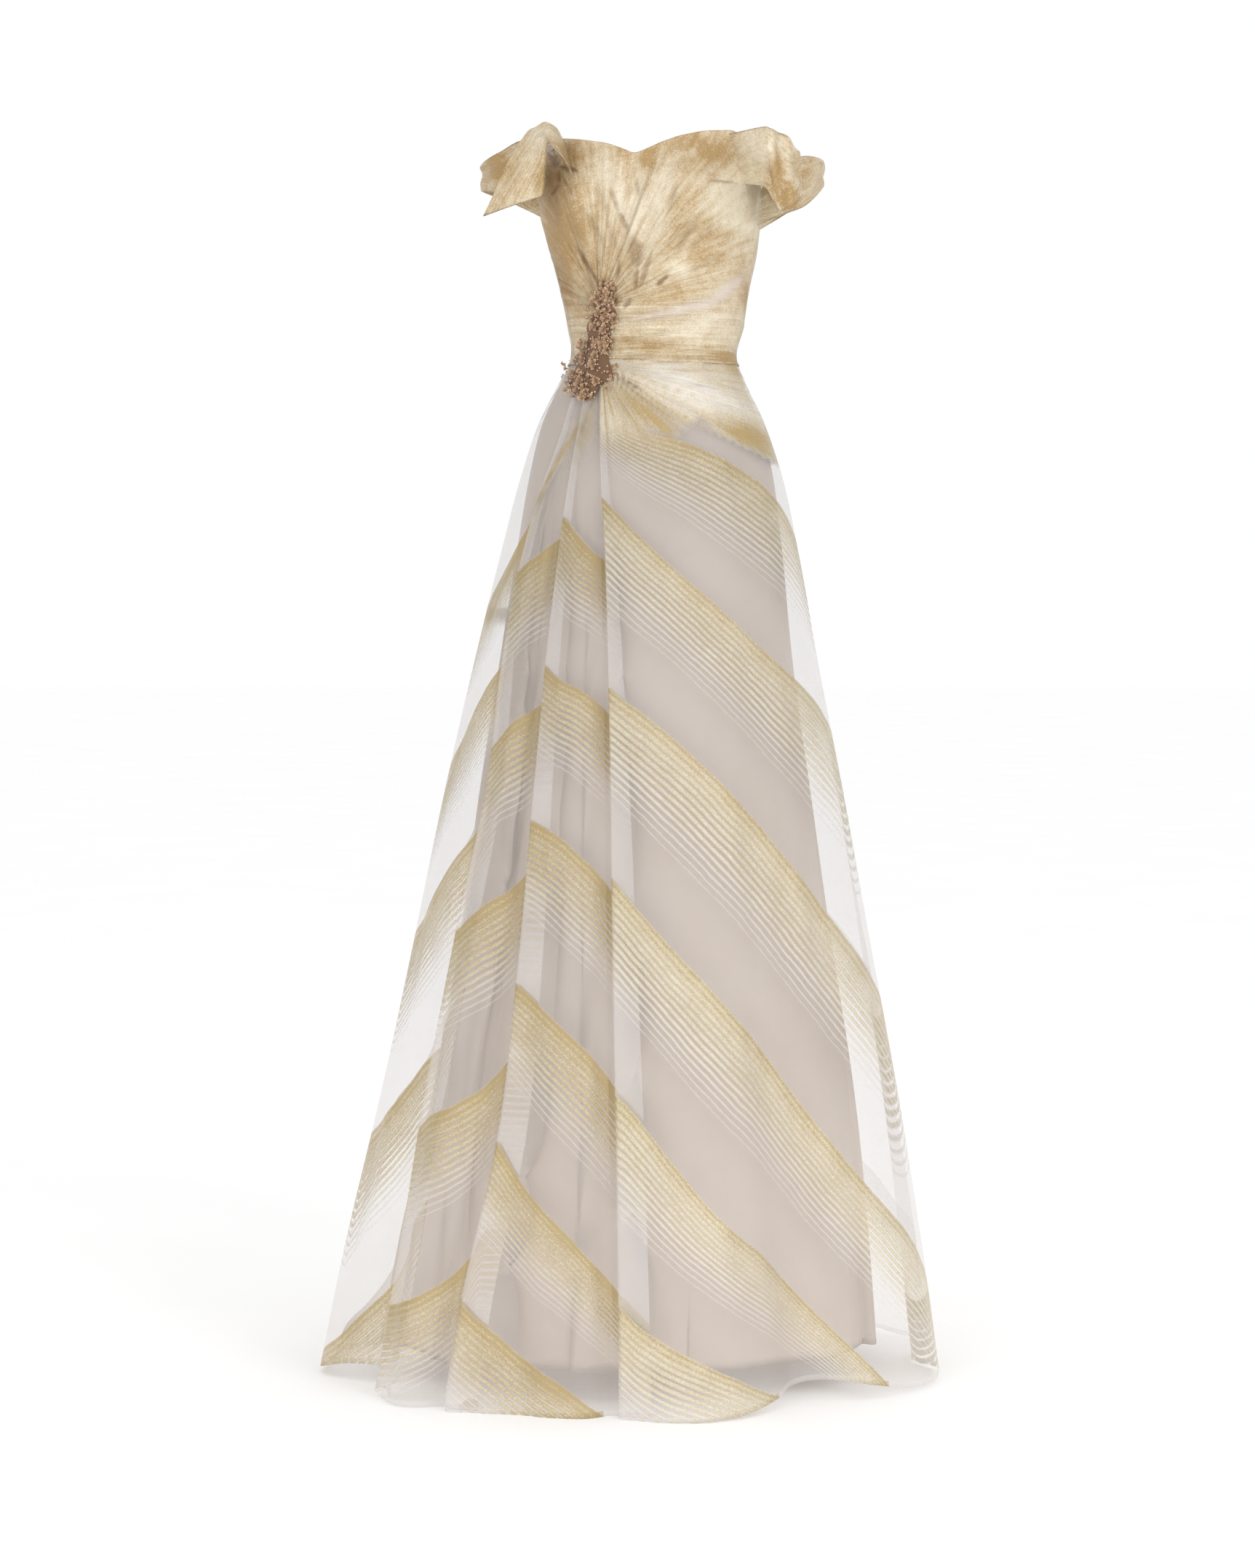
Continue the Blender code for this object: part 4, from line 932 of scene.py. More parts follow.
def skirtSheet(name, start, end, faceColumns, bands, gathered, toneAndShade):
    # columns of points from the start to the end: hidden layer and roll, the face, and what lies under the next fold
    heights = np.linspace(0.0, body["waist"] - 0.0005, skirt["rows"])
    half = body["skirtCloth"] / 2
    columns, angles, tonesAndShade = [], [], []
    startsFolded, endsFolded = isinstance(start, dict), isinstance(end, dict)
    if startsFolded:
        columns, angles = foldedEdge(start, heights)
        first = foldAngle(start, heights)
        tonesAndShade = [np.full_like(heights, toneAndShade)] * len(columns)
    else:
        first = start(heights)
    if endsFolded:
        last = foldAngle(end, heights)
        last = np.where(last < first, last + 360.0, last)
    else:
        last = end(heights)
    metres = runOf(first, heights)[0]
    hidden = curve(heights, foldDepth["height"], foldDepth["hidden"])
    stack = stackHeight(heights)
    width = (last - first) * metres
    for share in np.linspace(0.0, 1.0, faceColumns + 1)[1 if startsFolded else 0 :]:
        angle = first + (last - first) * share
        out = np.zeros_like(heights)
        if startsFolded:
            levelTo = width - 1.5 * stack if endsFolded else np.maximum(width * 0.35, 0.045)
            out = stack * (1.0 - ease((share * width - hidden) / (levelTo - hidden)))
        calm = ease(share * width / 0.02) if startsFolded else 1.0
        calm = calm * (ease((1.0 - share) * width / 0.03) if endsFolded else 1.0)
        out = out + skirtRipple(angle, heights) * calm
        if gathered:
            out = out + gatherRise(angle, heights) * ease((1.0 - share) / 0.1)
            out = out + fineGather(angle, heights) * ease(share * width / 0.010) * ease((heights - 0.96) / 0.14)
        columns.append(shell(angle, heights, out - half))
        angles.append(angle)
        # painted shade: darker gold beside the next fold, where the cloth turns away under it
        beside = 0.75 * np.exp(-(((1.0 - share) * width / 0.021) ** 2)) if endsFolded else 0.0
        tonesAndShade.append(toneAndShade + beside + 0.08 * noise1(angle / 14.0 + 200 + heights * 2, 17))
    if endsFolded:
        reach = hidden / runOf(last, heights)[0]
        for share in np.linspace(0.0, 1.0, skirt["hidden"] + 1)[1:]:
            columns.append(shell(last + reach * share, heights, -half))
            angles.append(last + reach * share)
            # painted shade: the part hidden under the next fold is darker gold
            tonesAndShade.append(np.full_like(heights, toneAndShade + 0.75))
    grid, angles, tonesAndShade = np.array(columns), np.array(angles), np.array(tonesAndShade)
    level = np.broadcast_to(heights, angles.shape)
    # behind the sides the bands climb again, as in front of them
    wrapped = np.where(angles > 60.0, angles - 360.0, angles) if bands is bandsLeft else angles
    mirrored = wrapped
    if bands is bandsLeft:
        mirrored = np.where(wrapped < -180.0, -360.0 - wrapped, wrapped)
    if bands is bandsRight:
        mirrored = -np.abs(wrapped)
    count = bandCount(bands, mirrored, level)
    floats = {"band": count, "toneAndShade": tonesAndShade, "reach": np.full_like(count, 0.56)}
    x = grid[..., 0]
    if bands is bandsLeft:
        # the band under the left hip keeps only its thin upper edge near the fold
        narrow = ease((wrapped + 175.0) / 14.0) * ease((count - 0.70) / 0.08) * ease((1.80 - count) / 0.08)
        floats["reach"] = 0.56 - 0.52 * narrow
        floats["fade"] = 0.55 * bumps(wrapped, np.array([-205.0]), np.array([14.0])).sum(-1)
    if bands is not bandsRight:
        # gold where the gathers run down below the spray, and the thin stripe at the hip
        below = 0.75 * np.exp(-(((x + 0.080 + 0.35 * (1.135 - level)) / 0.016) ** 2) - ((level - 1.140) / 0.045) ** 2)
        below = below * ease(-np.sin(np.radians(angles)) / 0.3)
        stripe = thinStripe(wrapped, level) if bands is not bandsCentre else 0.0
        floats["patch"] = np.maximum(below, stripe)
        floats["toneAndShade"] = tonesAndShade + 0.6 * floats["patch"]
        # painted shade along the creases
        floats["deep"] = np.clip(0.6 * creaseAt(x, level, "dark") * ease(-np.sin(np.radians(angles)) / 0.3), 0.0, 0.6)
    if bands is bandsRight:
        floats["fade"] = 0.75 * ease((wrapped - 4.0) / 10.0) * ease((70.0 - wrapped) / 30.0)
        floats["patch"] = hipPaint(x, level, wrapped)
        floats["toneAndShade"] = tonesAndShade + 0.45 * floats["patch"]
    if gathered:
        away, fan = fanPlace(x, level)
        inFront = ease(-np.sin(np.radians(angles)) / 0.25)
        floats["fan"], floats["away"] = fan, away
        painted = paintedShares(x, level)
        # gold spreads from the gathers: out to the right just under the waist, less far lower down
        lowest = np.interp(x, [-0.06, 0.0, 0.03, 0.058, 0.0961, 0.16], [1.095, 1.100, 1.110, 1.1370, 1.1243, 1.0965])
        softness = np.interp(x, [0.0, 0.03, 0.085], [0.055, 0.040, 0.010])
        veil = ease((level - lowest) / softness) * ease((6.0 - angles) / 22.0)
        floats["veil"] = np.clip(veil * inFront, 0.0, 1.0)
        floats["tan"] = painted["tan"]
        floats["toneAndShade"] = floats["toneAndShade"] + 0.35 * ease((0.26 - away) / 0.16)
        # painted shade in the creases and fold valleys of the gathers
        floats["deep"] = np.clip(0.8 * painted["deep"] * inFront * np.maximum(veil, 0.35), 0.0, 0.7)
    across, up = grid.shape[:2]
    # the hem is turned up inside: two more rows, in and then up
    normal = gridNormals(grid)[:, 0]
    side = np.sign((normal * grid[:, 0] * (1, 1, 0)).sum(-1, keepdims=True))
    inward = -normal * np.where(side == 0, 1.0, side) * (1, 1, 0)
    turned = [grid[:, 0] + inward * 0.0012 + (0, 0, skirt["hemTurn"]), grid[:, 0] + inward * 0.0006 + (0, 0, -0.0004)]
    points = np.concatenate([np.stack(turned, 1), grid], 1)
    floats = {k: np.concatenate([v[:, :1], v[:, :1], v], 1) for k, v in floats.items()}
    piece = meshFrom(name, points, gridFaces(across, up + 2), [organzaCloth], floats=floats)
    return piece, grid


def seamEdge(angle, side):
    # half a seam gap to one side of an angle
    def edge(heights):
        return angle + side * body["seamGap"] / 2 / runOf(np.full_like(heights, angle), heights)[0]

    return edge


def zipEdge(side):
    # beside the zip above its foot, and at the closed seam below it
    def edge(heights):
        apart = body["seamGap"] / 2 + ease((heights - 1.060) / 0.010) * (0.0025 + body["seamGap"] / 2)
        return 90.0 + side * apart / runOf(np.full_like(heights, 90.0), heights)[0]

    return edge


def finishPiece(piece, node):
    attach(piece, "root")
    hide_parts(node)


# the last number is each panel's base tone with painted shade: the panels that face left, away from the key light, are
# painted darker gold
panels = [
    ("panelFrontRight", "skirt_front_right", foldRight, seamEdge(8.0, -1), 300, bandsRight, True, 0.84, 0.10),
    ("panelFrontCentre", "skirt_front_centre", foldMiddle, foldRight, 110, bandsCentre, False, 0.33, 0.50),
    ("panelFrontLeft", "skirt_front_left", foldLeft, foldMiddle, 90, bandsChevron, False, 0.28, 0.50),
    ("panelBackRight", "skirt_back_right", seamEdge(8.0, 1), zipEdge(-1), 200, bandsRight, False, 0.66, 0.10),
    ("panelBackLeft", "skirt_back_left", zipEdge(1), foldLeft, 260, bandsLeft, False, 0.95, 0.45),
]
for name, node, start, end, columns, bands, gathered, wide, toneAndShade in panels:
    piece, grid = skirtSheet(name, start, end, columns, bands, gathered, toneAndShade)
    area = areaOf(grid)
    finishPiece(piece, node)

# Lining
lining = {"hem": 0.035, "columns": 90, "rows": 90, "ripple": 0.002, "flatLength": 1.19}
liningInset = table(
    "height inset",
    (0.000, 0.086),
    (0.300, 0.062),
    (0.620, 0.046),
    (0.870, 0.030),
    (1.050, 0.014),
    (1.150, 0.005),
    (1.2225, 0.0013),
)


def liningSheet(name, start, end):
    # plain sections inside the skirt, with a few soft waves that fade upwards
    heights = np.linspace(lining["hem"], body["waist"] - 0.0005, lining["rows"])
    inset = curve(heights, liningInset["height"], liningInset["inset"])
    low = ease((body["waist"] - heights) / 0.05)
    grid = []
    for share in np.linspace(0.0, 1.0, lining["columns"] + 1):
        angle = start(heights) * (1 - share) + end(heights) * share
        flat = (fluteDepth(angle, heights) - valleyDepth(angle, heights)) * low
        wave = np.sin(np.radians(angle) * 9 + 1.5 * np.sin(heights * 4)) * ease((0.9 - heights) / 0.8)
        point = shell(angle, heights, -inset - flat - 0.0005 + lining["ripple"] * wave)
        point[..., 2] = heights
        grid.append(point)
    grid = np.array(grid)
    inner = grid[:, 0] * (0.997, 0.997, 1.0) + (0, 0, 0.012)
    points = np.concatenate([inner[:, None], grid], 1)
    piece = meshFrom(name, points, gridFaces(points.shape[0], points.shape[1]), [liningCloth])
    return piece, grid


for name, node, start, end in (
    ("liningFront", "lining_front", seamEdge(-180.0, 1), seamEdge(0.0, -1)),
    ("liningBack", "lining_back", seamEdge(0.0, 1), seamEdge(180.0, -1)),
):
    piece, grid = liningSheet(name, start, end)
    area = areaOf(grid)
    finishPiece(piece, node)

# Bodice
bodice = {"turnIn": 0.010, "overlap": 0.004, "inner": 0.0042}
def neckline(angle):
    return np.interp(turnBetween(angle, 0.0), neckTable["angle"], neckTable["height"])


def smoothNeck(angle):
    # the neckline with its corners softened, by averaging over a few degrees
    return neckline(angle[..., None] + np.array([-2.0, -1.0, 0.0, 1.0, 2.0])).mean(-1)


def bodiceSheet(name, start, end, columns, rows, gathered):
    # outer cloth from just under the waist up to the neckline, turned in over the top edge, and a plain inner layer
    low = body["waist"] + body["seamGap"]
    shares = np.linspace(0.0, 1.0, columns + 1)
    lowest = np.array([low])
    top = smoothNeck(start(lowest)[0] * (1 - shares) + end(lowest)[0] * shares)
    heights = low + (top[:, None] - low) * np.linspace(0.0, 1.0, rows)
    angle = np.stack([start(h) * (1 - s) + end(h) * s for h, s in zip(heights, shares)])
    if gathered:
        rise = gatherRise(angle, heights) + fineGather(angle, heights)
    else:
        rise = 0.0006 * noise2(angle / 5.0 + 40, heights * 60.0, 21)
    # below the waist the edge laps over the skirt; above the neckline it turns in
    laps = np.linspace(bodice["overlap"], 0.0, 5)[:-1]
    lapped = [shell(angle[:, 0], heights[:, 0] - lap, np.maximum(rise[:, 0], 0.0) + 0.0008 * ease(lap / 0.002)) for lap in laps]
    outer = shell(angle, heights, rise)
    turns = ((0.0006, -0.0004), (0.0006, -0.0011), (-0.001, -0.0015), (-bodice["turnIn"], -0.0016))
    over = [shell(angle[:, -1], heights[:, -1] + up, rise[:, -1] + out) for up, out in turns]
    outer = np.concatenate([np.stack(lapped, 1), outer, np.stack(over, 1)], 1)
    levels = np.concatenate([heights[:, :1] - laps, heights, np.repeat(heights[:, -1:], len(turns), 1)], 1)
    around = np.concatenate([np.repeat(angle[:, :1], 4, 1), angle, np.repeat(angle[:, -1:], len(turns), 1)], 1)
    x = outer[..., 0]
    painted = paintedShares(x, levels)
    inFront = ease(-np.sin(np.radians(around)) / 0.3)
    away, fan = fanPlace(x, levels)
    floats = {
        "tan": painted["tan"] * inFront + (0.55 + 0.30 * noise2(x * 40 + 50, levels * 40, 9)) * (1 - inFront),
        "pale": painted["pale"] * inFront,
        "deep": painted["deep"] * inFront,
        "fan": fan * inFront + (1 - inFront) * around * 0.0025,
        "away": away * inFront + (1 - inFront) * levels * 0.5,
    }
    below = body["bodiceCloth"] + (bodice["inner"] - body["bodiceCloth"]) * ease((top[:, None] - heights) / 0.02) * gathered
    inner = shell(angle[::4], heights[::4], np.minimum(rise[::4], 0.0) * 0.0 - below[::4])[:, ::3]
    a, u = outer.shape[:2]
    b, v = inner.shape[:2]
    points = np.concatenate([outer.reshape(-1, 3), inner.reshape(-1, 3)])
    faces = np.concatenate([gridFaces(a, u), gridFaces(b, v, a * u, True)])
    slots = np.concatenate([np.zeros((a - 1) * (u - 1)), np.ones((b - 1) * (v - 1))])
    floats = {k: np.concatenate([w.ravel(), np.zeros(b * v)]) for k, w in floats.items()}
    piece = meshFrom(name, points, faces, [bodiceCloth, liningCloth], slots, floats)
    return piece, areaOf(outer) + areaOf(inner)


for name, node, start, end, columns, rows, gathered, wide in (
    ("bodiceFront", "bodice_front", seamEdge(-180.0, 1), seamEdge(0.0, -1), 320, 217, True, 0.45),
    ("bodiceBackRight", "bodice_back_right", seamEdge(0.0, 1), zipEdge(-1), 80, 100, False, 0.20),
    ("bodiceBackLeft", "bodice_back_left", zipEdge(1), seamEdge(180.0, -1), 80, 100, False, 0.20),
):
    piece, area = bodiceSheet(name, start, end, columns, rows, gathered)
    finishPiece(piece, node)

# Sleeves
sleeves = {"steps": 120, "across": 26}
leftBand = table(
    "x y low high",
    (-0.150, -0.078, 1.436, 1.478),
    (-0.178, -0.066, 1.421, 1.467),
    (-0.197, -0.038, 1.424, 1.459),
    (-0.204, 0.000, 1.428, 1.455),
    (-0.193, 0.040, 1.427, 1.453),
    (-0.163, 0.066, 1.418, 1.446),
)
rightBand = table(
    "x y low high",
    (0.155, -0.070, 1.393, 1.455),
    (0.181, -0.056, 1.404, 1.463),
    (0.199, -0.030, 1.421, 1.464),
    (0.206, 0.006, 1.436, 1.462),
    (0.194, 0.044, 1.426, 1.456),
    (0.164, 0.068, 1.408, 1.440),
)
leftBow = table(
    "ax ay ah bx by bh",
    (-0.116, -0.100, 1.4925, -0.103, -0.121, 1.452),
    (-0.127, -0.103, 1.4980, -0.112, -0.130, 1.461),
    (-0.138, -0.104, 1.4910, -0.119, -0.134, 1.468),
    (-0.148, -0.106, 1.4820, -0.123, -0.133, 1.464),
    (-0.170, -0.103, 1.4470, -0.125, -0.125, 1.438),
    (-0.199, -0.090, 1.3890, -0.127, -0.112, 1.4110),
)
rightPuff = table(
    "ax ay ah bx by bh",
    (0.128, -0.100, 1.4915, 0.133, -0.084, 1.424),
    (0.139, -0.104, 1.4895, 0.143, -0.086, 1.408),
    (0.150, -0.092, 1.4865, 0.152, -0.082, 1.396),
    (0.162, -0.090, 1.4805, 0.164, -0.086, 1.402),
    (0.171, -0.078, 1.4690, 0.173, -0.077, 1.409),
    (0.176, -0.068, 1.4640, 0.178, -0.067, 1.414),
)


def throughRows(rows, steps):
    # a smooth run through rows of points
    rows = np.array(rows)
    at = np.linspace(0.0, len(rows) - 1.0, steps + 1)
    flat = rows.reshape(len(rows), -1)
    smooth = np.stack([curve(at, np.arange(len(rows), dtype=float), flat[:, i]) for i in range(flat.shape[1])], -1)
    return smooth.reshape((steps + 1,) + rows.shape[1:])


def rootRow(angleLow, angleHigh, low, high, out):
    count = sleeves["across"]
    angles, heights = np.linspace(angleLow, angleHigh, count), np.linspace(low, high, count)
    return shell(angles, heights, out + gatherRise(angles, heights))


def sleevePiece(name, node, grid, side):
    # the bodice's own paint carries on over the sleeves, with streaks along them
    points, faces, back = closedWall(grid, body["sleeveCloth"], side)
    painted = paintedShares(grid[..., 0], grid[..., 2])
    across, up = grid.shape[:2]
    u, v = np.meshgrid(np.linspace(0, 1, across), np.linspace(0, 1, up), indexing="ij")
    noise = noise2(u * 9 + 3, v * 5 + 2, 31)
    floats = {
        "tan": np.clip(painted["tan"] + 0.15 * noise, 0, 1.2),
        "pale": painted["pale"],
        # painted shade, weaker than on the bodice
        "deep": np.clip(painted["deep"] - 0.25, 0, 0.5),
        "fan": 0.05 * v + 0.008 * np.sin(7 * u),
        "away": 0.3 * u,
    }
    floats = {k: w.ravel()[back] for k, w in floats.items()}
    piece = meshFrom(name, points, faces, [bodiceCloth], None, floats)
    finishPiece(piece, node)


def softFolds(grid, amount, waves, phase):
    # waves across the piece that run along it and wander, none at its ends
    across, up = grid.shape[:2]
    u, v = np.meshgrid(np.linspace(0, 1, across), np.linspace(0, 1, up), indexing="ij")
    ends = ease(u / 0.15) * ease((1 - u) / 0.10)
    wander = 0.35 * np.sin(3 * u + phase) + 0.25 * noise2(u * 5 + 11, v * 2 + 7, 51)
    push = amount * ends * (np.sin(2 * math.pi * (waves * v + wander) + phase) + 0.8 * noise2(u * 8 + 5, v * 4 + 9, 52))
    return grid + gridNormals(grid) * push[..., None]


def bandGrid(band, front, behind):
    rows = [front]
    for x, y, low, high in zip(band["x"], band["y"], band["low"], band["high"]):
        up = np.linspace(low, high, sleeves["across"])
        rows.append(np.stack([np.full_like(up, x), np.full_like(up, y), up], -1))
    rows.append(behind)
    return throughRows(rows, sleeves["steps"])


def foldedGrid(edges, root, bulge):
    rows = [root]
    share = np.linspace(0.0, 1.0, sleeves["across"])
    for i in range(len(edges["ax"])):
        row = np.outer(1 - share, [edges[k][i] for k in ("ax", "ay", "ah")])
        row = row + np.outer(share, [edges[k][i] for k in ("bx", "by", "bh")])
        row[:, 1] -= bulge * np.sin(math.pi * share)
        rows.append(row)
    return throughRows(rows, sleeves["steps"])


leftFront, leftBehind = rootRow(-160.0, -160.0, 1.434, 1.452, 0.0045), rootRow(150.0, 150.0, 1.392, 1.419, 0.0006)
rightFront, rightBehind = rootRow(-20.0, -20.0, 1.384, 1.430, 0.0045), rootRow(30.0, 30.0, 1.376, 1.406, 0.0006)
bowRoot = rootRow(-136.0, -127.0, 1.4775, 1.434, 0.0003)
puffRoot = rootRow(-50.0, -37.0, 1.4865, 1.430, -0.0040)
sleevePiece("bandLeft", "sleeve_left_band", softFolds(bandGrid(leftBand, leftFront, leftBehind), 0.0013, 1.4, 0.3), -1.0)
sleevePiece("bandRight", "sleeve_right_band", softFolds(bandGrid(rightBand, rightFront, rightBehind), 0.0013, 1.3, 1.1), 1.0)
sleevePiece("bowLeft", "sleeve_left_bow", softFolds(foldedGrid(leftBow, bowRoot, 0.004), 0.0016, 1.0, 0.0), -1.0)
sleevePiece("puffRight", "sleeve_right_puff", softFolds(foldedGrid(rightPuff, puffRoot, 0.007), 0.0018, 1.2, 2.0), 1.0)

# Zip
zipLook = {"tape": (0.40, 0.31, 0.18), "rows": 160, "half": 0.0025, "bottom": 1.071}


def zipMaterial(name, look):
    # woven tape: fine ribs across it over a mottled colour
    material, nodes, links, shader = newMaterial(name)
    place = objectPlace(nodes)
    grain = noiseValue(nodes, links, 500.0, 2.0, place)
    links.new(mixColour(nodes, links, grain, look["tape"], tuple(c * 0.75 for c in look["tape"])), shader.inputs["Base Color"])
    shader.inputs["Roughness"].default_value = 0.6
    wave = nodes.new("ShaderNodeTexWave")
    wave.bands_direction = "Z"
    wave.inputs["Scale"].default_value = 220.0
    links.new(place, wave.inputs["Vector"])
    bumpFrom(nodes, links, wave.outputs["Fac"], 0.5, 0.0004, shader)
    return material


def zipStrip():
    # two rounded welts with the closed line between them, carried up the centre back
    heights = np.linspace(zipLook["bottom"], float(neckline(np.array(90.0))) - 0.0005, zipLook["rows"])
    metres = runOf(np.full_like(heights, 90.0), heights)[0]
    grid = []
    for s in np.linspace(-1.0, 1.0, 17):
        welt = 0.0007 * np.abs(np.sin(math.pi * s)) - 0.0009
        grid.append(shell(90.0 + zipLook["half"] * s / metres, heights, welt))
    points, faces, back = closedWall(np.array(grid), 0.0006, 1.0)
    return meshFrom("zipStrip", points, faces, [zipMaterial("zipTape", zipLook)])


finishPiece(zipStrip(), "zip_back")
print("zip made")

# Spray of flowers
spraySpine = table(
    "along x height half",
    (0.00, -0.049, 1.312, 0.006),
    (0.14, -0.054, 1.294, 0.014),
    (0.34, -0.059, 1.264, 0.019),
    (0.50, -0.064, 1.243, 0.020),
    (0.70, -0.069, 1.212, 0.030),
    (0.88, -0.079, 1.190, 0.025),
    (1.00, -0.088, 1.177, 0.011),
)
spray = {"flowers": 34, "perFlower": 8, "loose": 120, "beads": 190, "long": 0.0092, "wide": 0.0026, "bead": 0.0011, "lift": 0.0014}


def onSpray(along, across, lift):
    # the spine's point, moved across it, and laid on the dress that many metres out; and the way out there
    x = curve(along, spraySpine["along"], spraySpine["x"])
    height = curve(along, spraySpine["along"], spraySpine["height"])
    half = curve(along, spraySpine["along"], spraySpine["half"])
    dx = curve(along + 0.01, spraySpine["along"], spraySpine["x"]) - x
    dh = curve(along + 0.01, spraySpine["along"], spraySpine["height"]) - height
    length = np.maximum(np.hypot(dx, dh), 1e-6)
    px, ph = x - dh / length * half * across, height + dx / length * half * across
    share = (px - section("centre", ph)) / section("side", ph)
    angle = -np.degrees(np.arccos(np.clip(share, -0.965, 0.965)))
    under = gatherRise(angle, ph) + stackHeight(ph) * ease((body["waist"] + 0.016 - ph) / 0.014)
    point = shell(angle, ph, under + lift)
    out = shell(angle, ph, under + lift + 0.001) - point
    return point, out / np.linalg.norm(out, axis=-1, keepdims=True)


def petals():
    # flowers are rings of petals round their own centres, and loose petals fill the ragged border;
    # a petal is a leaf, widest at its middle, cupped across, curling outwards to its tip
    flowers, each = spray["flowers"], spray["perFlower"]
    along = np.concatenate([np.repeat(random.uniform(0.03, 0.97, flowers), each), random.uniform(0.0, 1.0, spray["loose"])])
    across = np.concatenate([np.repeat(random.uniform(-0.8, 0.8, flowers), each), random.uniform(-1.05, 1.05, spray["loose"])])
    n = len(along)
    lift = np.concatenate([np.repeat(random.uniform(0.0015, 0.0050, flowers), each), random.uniform(0.0008, 0.0030, spray["loose"])])
    root, out = onSpray(along, across, lift)
    turn = np.tile(np.arange(each) * 2 * math.pi / each, flowers) + np.repeat(random.uniform(0, 6.28, flowers), each)
    turn = np.concatenate([turn, random.uniform(0, 2 * math.pi, spray["loose"])]) + random.uniform(-0.25, 0.25, n)
    sideways = np.cross(np.array([0.0, 0.0, 1.0]), out)
    sideways /= np.linalg.norm(sideways, axis=-1, keepdims=True)
    upward = np.cross(out, sideways)
    forward = sideways * np.cos(turn)[:, None] + upward * np.sin(turn)[:, None]
    flank = np.cross(out, forward)
    size, lean = random.uniform(0.55, 1.1, n)[:, None], random.uniform(0.15, 0.75, n)[:, None]
    u, v = np.meshgrid(np.linspace(0, 1, 8), np.linspace(-1, 1, 5), indexing="ij")
    u, v = u.ravel(), v.ravel()
    ahead = spray["long"] * size * (u - 0.25 * u**3)
    rise = spray["long"] * size * lean * 0.6 * np.sin(2.2 * u) + 0.0012 * size * v**2 * np.sin(math.pi * u)
    wide = spray["wide"] * size * np.sin(math.pi * (0.06 + 0.90 * u)) * v
    points = root[:, None] + forward[:, None] * ahead[..., None] + flank[:, None] * wide[..., None]
    points = points + out[:, None] * rise[..., None]
    faces = (gridFaces(8, 5)[None] + (np.arange(n) * 40)[:, None, None]).reshape(-1, 4)
    return points.reshape(-1, 3), faces, np.tile(u, n), np.repeat(random.uniform(0.0, 1.0, n), 40)


def beads():
    # small balls, some on the petals and some between them
    n = spray["beads"]
    centre, out = onSpray(random.uniform(0.0, 1.0, n), random.uniform(-1.02, 1.02, n), random.uniform(0.0020, 0.0070, n))
    size = spray["bead"] * random.uniform(0.55, 1.15, n)
    ring, around = np.meshgrid(np.linspace(0.12, math.pi - 0.12, 6), np.linspace(0, 2 * math.pi, 9), indexing="ij")
    ball = np.stack([np.sin(ring) * np.cos(around), np.sin(ring) * np.sin(around), np.cos(ring)], -1).reshape(-1, 3)
    points = centre[:, None] + ball[None] * size[:, None, None]
    faces = (gridFaces(6, 9)[None] + (np.arange(n) * 54)[:, None, None]).reshape(-1, 4)
    return points.reshape(-1, 3), faces


def sprayBase():
    # the backing patch under the flowers, narrower than they are, with a wavy border
    a, c = np.meshgrid(np.linspace(0.03, 0.97, 60), np.linspace(-1, 1, 24), indexing="ij")
    lift = spray["lift"] + 0.0016 * (1 - c**2) + 0.0006 * noise2(a * 30, c * 8 + 20, 4)
    ragged = c * (0.72 + 0.12 * np.sin(26 * a + 2 * np.sign(c)))
    return onSpray(a.ravel(), ragged.ravel(), lift.ravel())[0].reshape(60, 24, 3)


petalPoints, petalFaces, petalOut, petalHue = petals()
beadPoints, beadFaces = beads()
base = sprayBase()
points = np.concatenate([petalPoints, beadPoints, base.reshape(-1, 3)])
baseFaces = gridFaces(60, 24, len(petalPoints) + len(beadPoints))
faces = np.concatenate([petalFaces, beadFaces + len(petalPoints), baseFaces])
slots = np.concatenate([np.zeros(len(petalFaces)), np.ones(len(beadFaces)), np.zeros(len(baseFaces))])
# the backing patch takes the dark root colour, as painted shade between the flowers
outs = np.concatenate([0.15 + 0.85 * petalOut, np.ones(len(beadPoints)), np.full(60 * 24, 0.10)])
hues = np.concatenate([petalHue, np.ones(len(beadPoints)), np.zeros(60 * 24)])
piece = meshFrom("flowerSpray", points, faces, [petalCloth, beadGloss], slots, {"out": outs, "hue": hues})
finishPiece(piece, "waist_spray")
print("spray made,", len(faces), "faces")

# Stage, light and camera
stage = {
    "floor": (0.93, 0.93, 0.93),
    "world": 1.0,
    "key": (3.0, -4.4, 0.6, 84.0, 1.8),
    "fill": (-1.6, -3.6, -0.7, 40.0, 2.0),
}


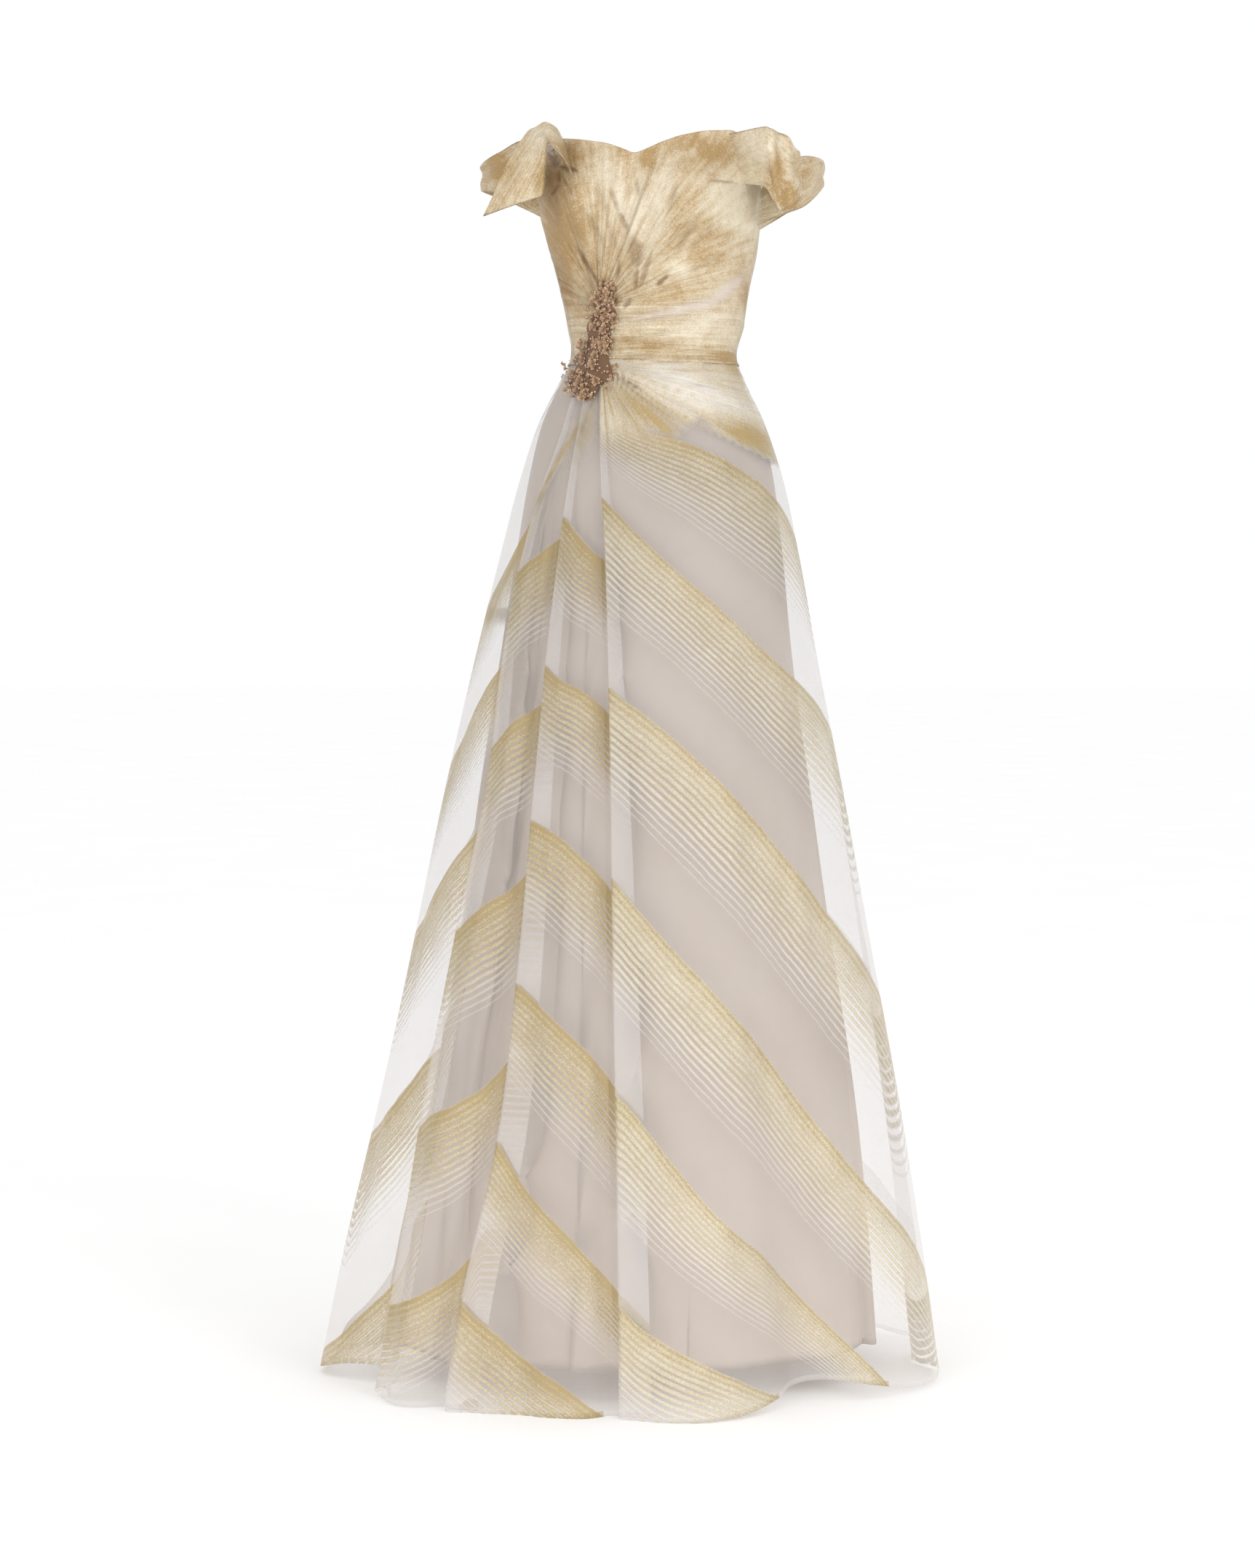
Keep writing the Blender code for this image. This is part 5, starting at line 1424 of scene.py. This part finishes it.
def makeFloor():
    mesh = bpy.data.meshes.new("floor")
    half, low = 30.0, -body["holdHeight"] - 0.0005
    corners = [(-half, -half, low), (half, -half, low), (half, half, low), (-half, half, low)]
    mesh.from_pydata(corners, [], [(0, 1, 2, 3)])
    material, nodes, links, shader = newMaterial("paleFloor")
    cloud = noiseValue(nodes, links, 3.0, 2.0, objectPlace(nodes))
    tint = tuple(c * 0.985 for c in stage["floor"])
    links.new(mixColour(nodes, links, cloud, stage["floor"], tint), shader.inputs["Base Color"])
    shader.inputs["Roughness"].default_value = 0.9
    shader.inputs["Emission Color"].default_value = (1.0, 1.0, 1.0, 1.0)
    shader.inputs["Emission Strength"].default_value = 0.06
    mesh.materials.append(material)
    floor = bpy.data.objects.new("floor", mesh)
    scene.collection.objects.link(floor)


def makeLight(name, x, y, z, power, size):
    light = bpy.data.lights.new(name, "AREA")
    light.energy, light.size = power, size
    lamp = bpy.data.objects.new(name, light)
    lamp.location = (x, y, z)
    aim = np.array([0.0, 0.0, -0.5]) - (x, y, z)
    tilt = math.atan2(math.hypot(aim[0], aim[1]), -aim[2])
    lamp.rotation_euler = (tilt, 0.0, math.atan2(aim[0], -aim[1]) + math.pi)
    scene.collection.objects.link(lamp)


makeFloor()
makeLight("keyLight", *stage["key"])
makeLight("fillLight", *stage["fill"])
world = bpy.data.worlds.new("studio")
world.use_nodes = True
world.node_tree.nodes["Background"].inputs[0].default_value = (1.0, 1.0, 1.0, 1.0)
world.node_tree.nodes["Background"].inputs[1].default_value = stage["world"]
scene.world = world
scene.view_settings.view_transform = "Standard"

camera = {"x": -0.0287, "distance": 4.3, "height": 0.95, "pitch": 3.15, "lens": 81.37}
lens = bpy.data.cameras.new("camera")
lens.lens, lens.sensor_width, lens.sensor_fit = camera["lens"], 36.0, "AUTO"
eye = bpy.data.objects.new("camera", lens)
eye.location = (camera["x"], -camera["distance"], camera["height"] - body["holdHeight"])
eye.rotation_euler = (math.radians(90.0 - camera["pitch"]), 0.0, 0.0)
scene.collection.objects.link(eye)
scene.camera = eye
print("stage made")
